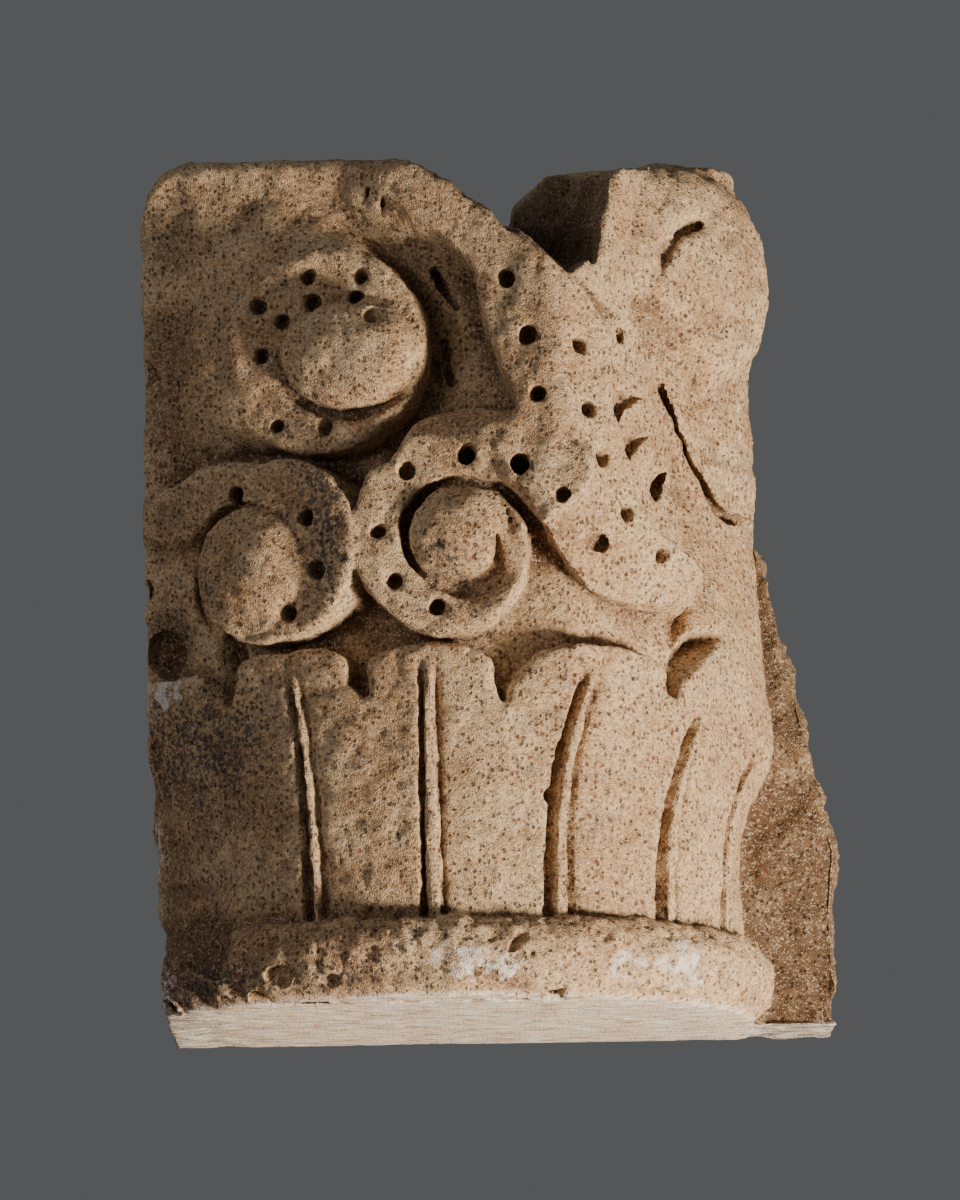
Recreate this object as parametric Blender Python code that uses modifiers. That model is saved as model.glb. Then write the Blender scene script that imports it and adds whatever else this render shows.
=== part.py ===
"""Romanesque engaged capital, carved from one block of limestone and broken at its upper right.

Metres, +Z up. X runs along the wall to the right and +Y into the wall. The origin is on the axis of the
half-column below, in the flat bottom bed. Angles round the bell are measured from the front (-Y) to +X.
"""

import math

import bmesh
import bpy
from mathutils import Euler, Matrix, Vector

# ---- driving sizes -------------------------------------------------------------------------------------
HEIGHT = 0.330                # bottom bed to top bed
BACK = 0.065                  # sawn wall face, behind the axis
WALL_FRONT = 0.014            # front of the rough wall tail
LEFT_JOINT = 0.1105           # left joint, upright down to the leaves
LEFT_CUT = 0.1048             # and at the bottom bed
LEFT_LEAN = math.radians(2.7)  # how far its lower part leans out

BELL_RADIUS = 0.109           # ground of the bell above the neck ring
ASTRAGAL_RADIUS = 0.1255
ASTRAGAL_HEIGHT = 0.031
BED_RADIUS = 0.1135           # where the neck ring meets the bottom bed

FRONT_TURN = math.radians(-16)   # direction the squared front face looks in
FRONT_GROUND = 0.094             # its ground, from the axis
RIGHT_TURN = math.radians(56)    # the same for the worn right face
RIGHT_GROUND = 0.1065
SIDE_GROUND = 0.1205             # right-hand flank, looking along +X
SQUARE_FROM = 0.060              # the round bell starts to turn square
SQUARE_TO = 0.225                # and is square from here up

LEAF_TOP = 0.1305
LEAF_FADE = 0.195                # the last leaf has no tip and dies away into the right face here
LEAF_BASE_RELIEF = 0.005
LEAF_TIP_RELIEF = 0.011
RIB_PITCH = math.radians(22.5)
FIRST_RIB = math.radians(-46.3)
RIB_WIDTH = 0.0056
DRILL_RADIUS = 0.0033
DRILL_DEPTH = 0.010

VOXEL = 0.0018
TRIANGLES = 8600              # carved body, before the drill holes are cut

STONE = (0.42, 0.29, 0.17, 1.0)


# ---- small tools ---------------------------------------------------------------------------------------
def new_collection(name):
    made = bpy.data.collections.new(name)
    bpy.context.scene.collection.children.link(made)
    return made


def add_object(name, mesh, collection):
    made = bpy.data.objects.new(name, mesh)
    collection.objects.link(made)
    return made


def from_bmesh(name, bm, collection):
    bmesh.ops.recalc_face_normals(bm, faces=bm.faces[:])
    mesh = bpy.data.meshes.new(name)
    bm.to_mesh(mesh)
    bm.free()
    return add_object(name, mesh, collection)


def as_mesh(obj, collection):
    """The object as it is evaluated, as a plain mesh in world space with its seams welded."""
    graph = bpy.context.evaluated_depsgraph_get()
    mesh = bpy.data.meshes.new_from_object(obj.evaluated_get(graph))
    mesh.transform(obj.matrix_world)
    bm = bmesh.new()
    bm.from_mesh(mesh)
    bmesh.ops.remove_doubles(bm, verts=bm.verts[:], dist=0.00001)
    bmesh.ops.recalc_face_normals(bm, faces=bm.faces[:])
    bm.to_mesh(mesh)
    bm.free()
    name = obj.name
    bpy.data.objects.remove(obj)
    return add_object(name, mesh, collection)


def frame_at(centre, turn=0.0):
    """Local X runs along a face that looks in the direction `turn`, local Y is up, local Z comes out."""
    upright = Matrix.Rotation(math.pi / 2, 4, "X")
    return Matrix.Translation(Vector(centre)) @ Matrix.Rotation(turn, 4, "Z") @ upright


def slab(name, outline, front, back, place, collection):
    """A flat outline in the local XY plane, extruded between two local heights."""
    curve = bpy.data.curves.new(name, "CURVE")
    curve.dimensions = "2D"
    curve.fill_mode = "BOTH"
    curve.extrude = (front - back) / 2
    line = curve.splines.new("POLY")
    line.points.add(len(outline) - 1)
    for point, (x, y) in zip(line.points, outline):
        point.co = (x, y, 0, 1)
    line.use_cyclic_u = True
    obj = add_object(name, curve, collection)
    obj.matrix_world = place @ Matrix.Translation((0, 0, (front + back) / 2))
    bpy.context.view_layer.update()
    return as_mesh(obj, collection)


def tube(name, path, radius, collection, taper=1.0):
    """A round bar along the points of the path. Its last point has `taper` times the radius."""
    curve = bpy.data.curves.new(name, "CURVE")
    curve.dimensions = "3D"
    curve.bevel_depth = radius
    curve.bevel_resolution = 2
    curve.use_fill_caps = True
    line = curve.splines.new("POLY")
    line.points.add(len(path) - 1)
    for index, (point, co) in enumerate(zip(line.points, path)):
        point.co = (*co, 1)
        point.radius = 1 + (taper - 1) * index / (len(path) - 1)
    return as_mesh(add_object(name, curve, collection), collection)


def ball(name, radii, place, collection):
    bm = bmesh.new()
    bmesh.ops.create_uvsphere(bm, u_segments=32, v_segments=20, radius=1.0)
    bmesh.ops.transform(bm, matrix=place @ Matrix.Diagonal((*radii, 1)), verts=bm.verts[:])
    return from_bmesh(name, bm, collection)


def box(name, size, centre, turn, collection):
    bm = bmesh.new()
    bmesh.ops.create_cube(bm, size=1.0)
    place = Matrix.Translation(Vector(centre)) @ Euler(turn).to_matrix().to_4x4()
    bmesh.ops.transform(bm, matrix=place @ Matrix.Diagonal((*size, 1)), verts=bm.verts[:])
    return from_bmesh(name, bm, collection)


def hull(name, corners, collection):
    """The smallest convex solid round the corners: a broken lump, or the room where one is missing."""
    bm = bmesh.new()
    verts = [bm.verts.new(corner) for corner in corners]
    made = bmesh.ops.convex_hull(bm, input=verts)
    inner = [item for item in made["geom_interior"] if isinstance(item, bmesh.types.BMVert)]
    bmesh.ops.delete(bm, geom=inner, context="VERTS")
    return from_bmesh(name, bm, collection)


def half_space(name, point, normal, collection):
    """A big box that fills the side of a plane that its normal points to."""
    size = 1.0
    turn = Vector(normal).to_track_quat("Z", "Y").to_euler()
    centre = Vector(point) + Vector(normal).normalized() * size / 2
    return box(name, (size, size, size), centre, turn, collection)


def cut(obj, cutters):
    for cutter in cutters:
        cutter.hide_render = True
        cutter.display_type = "WIRE"
        modifier = obj.modifiers.new(cutter.name, "BOOLEAN")
        modifier.operation = "DIFFERENCE"
        modifier.solver = "EXACT"
        modifier.object = cutter
    return as_mesh(obj, obj.users_collection[0])


def smooth_step(low, high, value):
    """Rises from 0 at low to 1 at high, or falls where high is the smaller."""
    share = min(max((value - low) / (high - low), 0.0), 1.0)
    return share * share * (3 - 2 * share)


# ---- the bell ------------------------------------------------------------------------------------------
def squared_radius(angle):
    """Distance from the axis to the squared top: the front, the worn right face and the flank."""
    faces = (
        (FRONT_TURN, FRONT_GROUND),
        (RIGHT_TURN, RIGHT_GROUND),
        (math.pi / 2, SIDE_GROUND),
        (FRONT_TURN - math.pi / 2, BELL_RADIUS * 1.3),
    )
    reach = [away / math.cos(angle - turn) for turn, away in faces if math.cos(angle - turn) > 0.2]
    return min(reach)


# The plain band at the top: height against how far it stands out from the ground.
LIP = ((0.262, 0.0), (0.276, 0.0008), (0.284, 0.0024), (0.290, 0.0052), (0.301, 0.0112), (0.313, 0.0172),
       (0.330, 0.0190))


def lip(angle, height):
    """It leans forward, and starts lower where it runs into the stalk."""
    lower = 0.014 * smooth_step(math.radians(-24), math.radians(-4), angle)
    return between(LIP, height + lower) - 0.004 * smooth_step(0.304, 0.326, height) ** 2


def bell_radius(angle, height):
    share = smooth_step(SQUARE_FROM, SQUARE_TO, height)
    front = smooth_step(math.radians(34), math.radians(14), angle)
    return BELL_RADIUS + share * (squared_radius(angle) - BELL_RADIUS) + front * lip(angle, height)


def leaf_relief(height):
    if height > LEAF_TOP:
        return LEAF_TIP_RELIEF * smooth_step(LEAF_FADE, LEAF_TOP, height)
    share = max(height - ASTRAGAL_HEIGHT, 0) / (LEAF_TOP - ASTRAGAL_HEIGHT)
    return LEAF_BASE_RELIEF + (LEAF_TIP_RELIEF - LEAF_BASE_RELIEF) * share**1.6


def on_bell(angle, height, relief):
    reach = bell_radius(angle, height) + relief
    return Vector((reach * math.sin(angle), -reach * math.cos(angle), height))


def loft(name, low, high, levels, relief, collection, first=-105, steps=70):
    """A solid between two heights whose outline follows the bell from a first angle on."""
    first, last = math.radians(first), math.radians(105)
    bm = bmesh.new()
    rings = []
    for level in range(levels + 1):
        height = low + (high - low) * level / levels
        ring = []
        for step in range(steps + 1):
            angle = first + (last - first) * step / steps
            ring.append(bm.verts.new(on_bell(angle, height, relief(height))))
        ring += [bm.verts.new((x, BACK + 0.01, height)) for x in (0.10, -0.10)]
        rings.append(ring)
    for below, above in zip(rings, rings[1:]):
        for a in range(len(below)):
            b = (a + 1) % len(below)
            bm.faces.new((below[a], below[b], above[b], above[a]))
    bm.faces.new(rings[0][::-1])
    bm.faces.new(rings[-1])
    return from_bmesh(name, bm, collection)


def make_neck_ring(collection):
    """The astragal: a full roll turned round the axis, flat below on the bed."""
    profile = [(0.0, ASTRAGAL_HEIGHT + 0.004), (BELL_RADIUS - 0.004, ASTRAGAL_HEIGHT + 0.004)]
    middle = ASTRAGAL_HEIGHT / 2
    swell = ASTRAGAL_RADIUS - BED_RADIUS
    for step in range(9):
        angle = math.radians(82 - step * 164 / 8)
        profile.append((BED_RADIUS + swell * math.cos(angle), middle + middle * math.sin(angle)))
    profile += [(BED_RADIUS - 0.002, -0.004), (0.0, -0.004)]
    curve = bpy.data.meshes.new("neck_ring")
    curve.from_pydata([(x, 0, z) for x, z in profile], [(i, i + 1) for i in range(len(profile) - 1)], [])
    ring = add_object("neck_ring", curve, collection)
    screw = ring.modifiers.new("turn", "SCREW")
    screw.axis = "Z"
    screw.steps = screw.render_steps = 72
    screw.use_merge_vertices = True
    screw.merge_threshold = 0.0001
    return as_mesh(ring, collection)


# ---- the leaves ----------------------------------------------------------------------------------------
# Each slit between two leaves: its angle, the height of its foot and how wide the lobes stand apart.
SLITS = (
    (-62.0, 0.117, 1.0),
    (-41.0, 0.1165, 0.8),
    (-14.5, 0.1115, 1.0),
    (12.0, 0.1095, 1.1),
    (46.0, 0.1165, 1.5),
)
# How far each rib's top leans from its foot, in degrees. The leaves on the right fan out.
RIB_LEAN = (-3.0, -2.5, 0.5, 6.5, 11.5, 14.0)
RIB_TOP = (0.112, 0.121, 0.123, 0.117, 0.106, 0.098)


def slit_outline(spread):
    """Right half of the opening between two lobed tips, from its foot upwards, then mirrored."""
    half = [(0.0006, -0.002), (0.0022, 0.003), (0.0034, 0.009), (0.0062, 0.0135), (0.0125, 0.0175),
            (0.0130, 0.040)]
    right = [(x * spread, y) for x, y in half]
    return right + [(-x, y) for x, y in reversed(right)]


def make_leaves(collection, cutters):
    leaves = loft("leaves", ASTRAGAL_HEIGHT - 0.006, LEAF_TOP, 12, leaf_relief, collection)
    grooves = [
        tube(f"groove_{index}_{side}", rib_path(index, side * RIB_WIDTH * 0.82, 0.0002), 0.0026,
             cutters, 0.5)
        for index in range(1, len(RIB_TOP))
        for side in (-1, 1)
    ]
    slits = []
    for index, (angle, foot, spread) in enumerate(SLITS):
        turn = math.radians(angle)
        place = frame_at(on_bell(turn, foot, 0.0), turn)
        slits.append(slab(f"slit_{index}", slit_outline(spread), 0.03, -0.0005, place, cutters))
    return cut(leaves, slits + grooves)


def rib_path(index, side, relief):
    """Points up a rib, or up a line `side` metres to the right of it."""
    points = []
    for step in range(9):
        share = step / 8
        height = ASTRAGAL_HEIGHT - 0.002 + (RIB_TOP[index] - ASTRAGAL_HEIGHT) * share
        angle = FIRST_RIB + index * RIB_PITCH + math.radians(RIB_LEAN[index]) * share**2.6
        angle += side * (1 - 0.55 * share) / BELL_RADIUS
        points.append(on_bell(angle, height, leaf_relief(height) + relief))
    return points


def make_ribs(collection):
    return [
        tube(f"rib_{index}", rib_path(index, 0.0, -0.0007), RIB_WIDTH / 2, collection, 0.5)
        for index in range(1, len(RIB_TOP))
    ]


# ---- the volutes ---------------------------------------------------------------------------------------
LEFT_TURN = math.radians(-31)
UPPER_CENTRE = (-0.042, -0.1045, 0.243)
LOWER_CENTRE = (-0.060, -0.1010, 0.168)
HELIX_CENTRE = (0.008, -0.1195, 0.170)
HELIX_TURN = math.radians(-5)
UPPER_RADIUS = 0.0396
RELIEF_DEPTH = 0.034


def circle(radius_x, radius_y, steps=40):
    turns = [2 * math.pi * step / steps for step in range(steps)]
    return [(radius_x * math.cos(turn), radius_y * math.sin(turn)) for turn in turns]


def between(table, value):
    """Straight-line reading of a short table of (position, size) pairs."""
    for (low, size_low), (high, size_high) in zip(table, table[1:]):
        if value <= high:
            share = max(value - low, 0) / (high - low)
            return size_low + share * (size_high - size_low)
    return table[-1][1]


# Outer edge of the central helix: turn in degrees against radius. It winds in from the stalk to its eye.
HELIX_OUTER = ((40, 0.052), (81, 0.044), (154, 0.0395), (200, 0.0396), (250, 0.0384), (271, 0.0366),
               (296, 0.0326), (331, 0.0279), (349, 0.0260), (400, 0.0213))


def helix_outline():
    outer = []
    for step in range(46):
        turn = 40 + step * 8
        radius = between(HELIX_OUTER, turn)
        outer.append((radius * math.cos(math.radians(turn)), radius * math.sin(math.radians(turn))))
    return outer


# The channel that parts the helix's band from its eye: turn against radius, and turn against width.
CHANNEL_RADIUS = ((22, 0.0270), (60, 0.0198), (258, 0.0196), (350, 0.0150))
CHANNEL_WIDTH = ((22, 0.0060), (60, 0.0040), (200, 0.0034), (300, 0.0044), (350, 0.0020))


def ribbon(radii, widths, steps=24):
    """Outline of a channel that winds round a centre."""
    first, last = radii[0][0], radii[-1][0]
    inner, outer = [], []
    for step in range(steps + 1):
        turn = first + (last - first) * step / steps
        radius, half = between(radii, turn), between(widths, turn) / 2
        across, up = math.cos(math.radians(turn)), math.sin(math.radians(turn))
        inner.append(((radius - half) * across, (radius - half) * up))
        outer.append(((radius + half) * across, (radius + half) * up))
    return inner + outer[::-1]


def make_volutes(collection, cutters):
    upper = frame_at(UPPER_CENTRE, FRONT_TURN)
    lower = frame_at(LOWER_CENTRE, LEFT_TURN)
    helix = frame_at(HELIX_CENTRE, HELIX_TURN)
    under_boss = upper @ Matrix.Translation((0.0115, -0.0030, 0)) @ Matrix.Diagonal((1.24, 1.00, 1, 1))
    crescent_line = ribbon(((195, 0.0235), (335, 0.0225)), ((195, 0.002), (265, 0.006), (335, 0.002)))
    crescent = slab("upper_crescent", crescent_line, 0.01, -0.006, under_boss, cutters)
    channel = slab("helix_channel", ribbon(CHANNEL_RADIUS, CHANNEL_WIDTH), 0.01, -0.009, helix, cutters)
    disc = circle(UPPER_RADIUS, UPPER_RADIUS)
    upper_volute = slab("upper_volute", disc, 0.0, -RELIEF_DEPTH, upper, collection)
    helix_band = slab("helix", helix_outline(), 0.0, -RELIEF_DEPTH, helix, collection)
    shoulder = [(x * 1.12, y * 1.12) for x, y in helix_outline()[4:12]] + [(0, 0)]
    tongue = [(-0.070, 0.009), (-0.070, 0.020), (-0.048, 0.030), (-0.030, 0.036), (-0.008, 0.036),
              (-0.008, 0.010), (-0.030, 0.014), (-0.038, 0.008), (-0.050, 0.007)]
    upper_boss = upper @ Matrix.Translation((0.0112, -0.0030, -0.0045))
    lower_boss = lower @ Matrix.Translation((-0.0115, -0.0070, -0.0035))
    helix_eye = helix @ Matrix.Translation((0.0, 0.0, -0.004))
    return [
        cut(upper_volute, [crescent]),
        cut(helix_band, [channel]),
        slab("helix_shoulder", shoulder, -0.006, -RELIEF_DEPTH, helix, collection),
        slab("lower_volute", circle(0.0345, 0.0350), 0.0, -RELIEF_DEPTH, lower, collection),
        slab("upper_skirt", circle(UPPER_RADIUS + 0.004, UPPER_RADIUS + 0.004), -0.007, -RELIEF_DEPTH,
             upper @ Matrix.Translation((-0.004, 0.002, 0)), collection),
        slab("lower_band", tongue, 0.001, -RELIEF_DEPTH, lower, collection),
        ball("upper_boss", (0.0280, 0.0220, 0.0155), upper_boss, collection),
        ball("lower_boss", (0.0236, 0.0240, 0.0150), lower_boss, collection),
        ball("helix_boss", (0.0178, 0.0178, 0.0140), helix_eye, collection),
    ]


# ---- the angle stalk -----------------------------------------------------------------------------------
ARRIS = Vector((0.046, -0.134, 0.215))    # a point on the edge between the stalk's two dressed faces
STALK_RIGHT_TURN = math.radians(40)
STALK_FALL = 0.34                          # how fast the stalk sinks back into the bell, towards its foot

STALK_OUTLINE = (
    (0.027, 0.196), (0.030, 0.217), (0.025, 0.231), (0.019, 0.248), (0.0155, 0.268), (0.004, 0.283),
    (-0.010, 0.296), (-0.016, 0.304), (0.075, 0.316), (0.066, 0.234), (0.0655, 0.220), (0.0675, 0.203),
    (0.0705, 0.190), (0.0795, 0.1745), (0.094, 0.166), (0.0993, 0.160), (0.0955, 0.1535), (0.0892, 0.1475),
    (0.0817, 0.146), (0.0705, 0.1465), (0.0637, 0.147), (0.057, 0.1493), (0.0509, 0.1542), (0.0462, 0.1595),
    (0.042, 0.1654), (0.0379, 0.1736), (0.0345, 0.1812), (0.0305, 0.187), (0.027, 0.190),
)


def face_normal(turn, fall=0.0):
    return Vector((math.sin(turn), -math.cos(turn), -fall))


# Points on the broken upper edge of the stalk, and the way each stretch of it faces.
BREAKS = (
    ((0.014, -0.12, 0.2970), (0.56, -0.12, 0.83)),
    ((0.0405, -0.12, 0.2785), (0.74, -0.10, 0.67)),
    ((0.062, -0.12, 0.2515), (0.85, -0.05, 0.52)),
)


def make_stalk(collection, cutters):
    stalk = slab("stalk", STALK_OUTLINE, 0.150, 0.050, frame_at((0, 0, 0)), collection)
    left_turn = FRONT_TURN - math.radians(2)
    foot = ARRIS + Vector((0.006, 0.0, -0.027))
    planes = [
        half_space("stalk_left_face", ARRIS, face_normal(left_turn), cutters),
        half_space("stalk_right_face", ARRIS, face_normal(STALK_RIGHT_TURN), cutters),
        half_space("stalk_foot_left", foot, face_normal(left_turn + math.radians(14), STALK_FALL), cutters),
        half_space("stalk_foot_right", foot, face_normal(STALK_RIGHT_TURN, STALK_FALL), cutters),
    ]
    planes += [half_space(f"stalk_break_{index}", *plane, cutters) for index, plane in enumerate(BREAKS)]
    return cut(stalk, planes)


# ---- the wall tail and the losses ----------------------------------------------------------------------
TAIL_OUTLINE = (
    (-0.12, -0.005), (0.150, -0.005), (0.1525, 0.020), (0.152, 0.045), (0.1545, 0.068), (0.150, 0.084),
    (0.1445, 0.104), (0.1400, 0.130), (0.1355, 0.143), (0.1330, 0.160), (0.1255, 0.188), (0.1200, 0.200),
    (0.1180, 0.330), (-0.12, 0.330),
)


WORN_VOLUTE_CENTRE = (0.1060, -0.0380, 0.281)


def make_right_mass(collection):
    """What weather has left of the volute on the right face: a low swelling on a lower and broader one."""
    centre = frame_at(WORN_VOLUTE_CENTRE, RIGHT_TURN)
    return [
        ball("worn_volute", (0.048, 0.044, 0.025), centre @ Matrix.Translation((0, 0, -0.017)), collection),
        ball("worn_skirt", (0.068, 0.060, 0.022), centre @ Matrix.Translation((0, 0, -0.0175)), collection),
    ]


def make_tail(collection):
    return slab("wall_tail", TAIL_OUTLINE, -WALL_FRONT, -BACK - 0.01, frame_at((0, 0, 0)), collection)


BROKEN_FACE = (0.0605, -0.088, 0.293), (-0.84, -0.42, 0.34)
BROKEN_FLOOR = (0.064, -0.088, 0.284), (-0.60, -0.15, 0.78)
# The notch as it shows from the front: its left side runs straight back, its right side climbs on the way.
NOTCH_LEFT = (
    (-0.034, 0.346), (-0.009, 0.315), (0.0, 0.310), (0.0074, 0.305), (0.0147, 0.2976), (0.0219, 0.2915),
    (0.027, 0.287), (0.027, 0.346),
)
NOTCH_RIGHT = (
    (0.022, 0.046), (0.022, 0.011), (0.0306, 0.0036), (0.0312, 0.009), (0.0335, 0.012), (0.041, 0.0193),
    (0.0445, 0.0222), (0.055, 0.0226), (0.068, 0.024), (0.080, 0.0268), (0.096, 0.046),
)
NOTCH_PLACE = (0, -0.040, 0.300)
NOTCH_CLIMB = math.atan(0.23)


def make_losses(cutters):
    """What the block has lost: the notch at the top and the angle volute beside the stalk's head."""
    climbing = Matrix.Translation(NOTCH_PLACE) @ Matrix.Rotation(math.pi / 2 + NOTCH_CLIMB, 4, "X")
    losses = [
        slab("notch_left", NOTCH_LEFT, 0.2, -0.1, frame_at((0, 0, 0)), cutters),
        slab("notch_right", NOTCH_RIGHT, 0.14, -0.14, climbing, cutters),
    ]
    for index, (point, normal) in enumerate(BREAKS):
        lost = box(f"lost_angle_{index}", (0.30, 0.30, 0.30), (0.10, -0.10, 0.33), (0, 0, 0), cutters)
        keep = [
            half_space(f"below_break_{index}", point, -Vector(normal), cutters),
            half_space(f"behind_face_{index}", BROKEN_FACE[0], -Vector(BROKEN_FACE[1]), cutters),
            half_space(f"under_floor_{index}", BROKEN_FLOOR[0], -Vector(BROKEN_FLOOR[1]), cutters),
        ]
        losses.append(cut(lost, keep))
    hollow = hull("left_hollow", [
        (-0.12, -0.12, 0.147), (-0.12, -0.12, 0.131), (-0.094, -0.12, 0.143), (-0.092, -0.12, 0.133),
        (-0.12, -0.040, 0.147), (-0.12, -0.040, 0.131), (-0.100, -0.052, 0.143), (-0.100, -0.052, 0.133),
    ], cutters)
    return losses + [hollow]


# Cuts and losses that show as outlines from the front: x and z. The first three are triangular chisel cuts
# beside the stalk, then comes the scooped hollow beside the last leaf.
SUNK_CUTS = (
    ((0.0664, 0.2290), (0.0790, 0.2290), (0.0704, 0.2220), (0.0684, 0.2165), (0.0660, 0.2200)),
    ((0.0698, 0.2124), (0.0804, 0.2146), (0.0739, 0.2060), (0.0722, 0.2024), (0.0694, 0.2060)),
    ((0.0808, 0.1984), (0.0868, 0.2026), (0.0842, 0.1934), (0.0826, 0.1900), (0.0796, 0.1946)),
    ((0.0850, 0.1135), (0.0848, 0.1280), (0.0874, 0.1345), (0.0923, 0.1394), (0.1095, 0.1445),
     (0.1008, 0.1296)),
)
HOLLOW_FOOT = Vector((0.0837, -0.0678, 0.13))   # the hollow's floor is deepest at its left
HOLLOW_LEAN = Vector((0.35, 0, 0))              # and runs out to the right
RING_LOSS = (
    (-0.125, 0.052), (-0.084, 0.046), (-0.080, 0.026), (-0.0825, 0.012), (-0.091, 0.015), (-0.125, 0.019),
)


def make_sunk_cuts(cutters):
    """Cutters for them, 5 mm deep in the right face, and down to the bell at the neck ring."""
    made = []
    out = face_normal(RIGHT_TURN)
    floors = [(out * (RIGHT_GROUND - 0.005), -out)] * 3 + [(HOLLOW_FOOT, HOLLOW_LEAN - out)]
    for index, (outline, (point, inside)) in enumerate(zip(SUNK_CUTS, floors)):
        slot = slab(f"sunk_{index}", outline, 0.15, -0.02, frame_at((0, 0, 0)), cutters)
        made.append(cut(slot, [half_space(f"sunk_floor_{index}", point, inside, cutters)]))
    bell = slab("ring_core", circle(0.1125, 0.1125), 0.06, 0.0, Matrix.Identity(4), cutters)
    lost_end = slab("ring_loss", RING_LOSS, 0.15, -0.02, frame_at((0, 0, 0)), cutters)
    return made + [cut(lost_end, [bell])]


def make_trims(cutters):
    """The sawn faces: bottom bed, top bed, wall face and left joint."""
    left_normal = Vector((-math.cos(LEFT_LEAN), 0, -math.sin(LEFT_LEAN)))
    return [
        half_space("trim_bed", (0, 0, 0), (0, 0, -1), cutters),
        half_space("trim_top", (0, 0, HEIGHT), (0, 0, 1), cutters),
        half_space("trim_wall", (0, BACK, 0), (0, 1, 0), cutters),
        half_space("trim_left", (-LEFT_JOINT, 0, 0), (-1, 0, 0), cutters),
        half_space("trim_left_foot", (-LEFT_CUT, 0, 0), left_normal, cutters),
        half_space("worn_corner", (-0.103, 0, 0.3130), (-0.74, 0, 0.67), cutters),
        half_space("worn_top", (0.100, -0.020, 0.3303), (0.0112, -0.2046, 0.9788), cutters),
    ]


# ---- drill holes ---------------------------------------------------------------------------------------
# Across and up from each centre, on the face that they were drilled in.
UPPER_HOLES = ((-0.005, 0.028), (-0.0035, 0.0185), (0.0157, 0.026), (0.0137, 0.0187), (0.0229, 0.010),
               (-0.0152, 0.012), (-0.024, 0.018), (-0.0231, -0.0005), (-0.0172, -0.028), (0.0015, -0.0295))
LOWER_HOLES = ((-0.0165, 0.0227), (0.0139, 0.0108), (0.0176, -0.0092), (0.0057, -0.0239))
HELIX_HOLES = ((-0.0185, 0.0242), (0.0041, 0.029), (0.0242, 0.0234), (-0.0292, 0.0021), (-0.0235, -0.0169),
               (-0.0078, -0.0266))
# Across and up from the origin, on the two faces of the stalk.
STALK_LEFT_HOLES = ((0.0274, 0.2637), (0.0344, 0.2418), (0.0375, 0.2195), (0.0465, 0.182), (0.0590, 0.1664))
STALK_RIGHT_HOLES = ((0.0546, 0.2382), (0.0574, 0.2145), (0.0617, 0.1970), (0.0718, 0.1780),
                     (0.0837, 0.1648))
# Across and up from the origin, on the worn right face beyond the stalk.
FLANK_HOLE = (0.0700, 0.2496)


def drill(name, place, cutters):
    return slab(name, circle(DRILL_RADIUS, DRILL_RADIUS, 10), 0.03, -DRILL_DEPTH, place, cutters)


def stalk_depth(across, height):
    """How far forward the stalk's surface stands at this place."""
    left_turn = FRONT_TURN - math.radians(2)
    foot = ARRIS + Vector((0.006, 0.0, -0.027))
    depth = -1.0
    for point, normal in (
        (ARRIS, face_normal(left_turn)),
        (ARRIS, face_normal(STALK_RIGHT_TURN)),
        (foot, face_normal(left_turn + math.radians(14), STALK_FALL)),
        (foot, face_normal(STALK_RIGHT_TURN, STALK_FALL)),
    ):
        offset = normal.x * (across - point.x) + normal.z * (height - point.z)
        depth = max(depth, point.y - offset / normal.y)
    return depth


def make_drill_holes(cutters):
    holes = []
    for name, centre, turn, places in (
        ("upper", UPPER_CENTRE, FRONT_TURN, UPPER_HOLES),
        ("lower", LOWER_CENTRE, LEFT_TURN, LOWER_HOLES),
        ("helix", HELIX_CENTRE, HELIX_TURN, HELIX_HOLES),
    ):
        frame = frame_at(centre, turn)
        for index, (across, up) in enumerate(places):
            place = frame @ Matrix.Translation((across, up, 0))
            holes.append(drill(f"{name}_hole_{index}", place, cutters))
    for name, turn, places in (
        ("stalk_left", FRONT_TURN, STALK_LEFT_HOLES),
        ("stalk_right", STALK_RIGHT_TURN, STALK_RIGHT_HOLES),
    ):
        for index, (across, up) in enumerate(places):
            place = frame_at((across, stalk_depth(across, up), up), turn)
            holes.append(drill(f"{name}_hole_{index}", place, cutters))
    across, up = FLANK_HOLE
    depth = -(RIGHT_GROUND - across * math.sin(RIGHT_TURN)) / math.cos(RIGHT_TURN)
    return holes + [drill("flank_hole", frame_at((across, depth, up), RIGHT_TURN), cutters)]


# ---- one carved stone ----------------------------------------------------------------------------------
def joined(name, parts, collection):
    bm = bmesh.new()
    for part in parts:
        bm.from_mesh(part.data)
        bpy.data.objects.remove(part)
    mesh = bpy.data.meshes.new(name)
    bm.to_mesh(mesh)
    bm.free()
    return add_object(name, mesh, collection)


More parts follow.
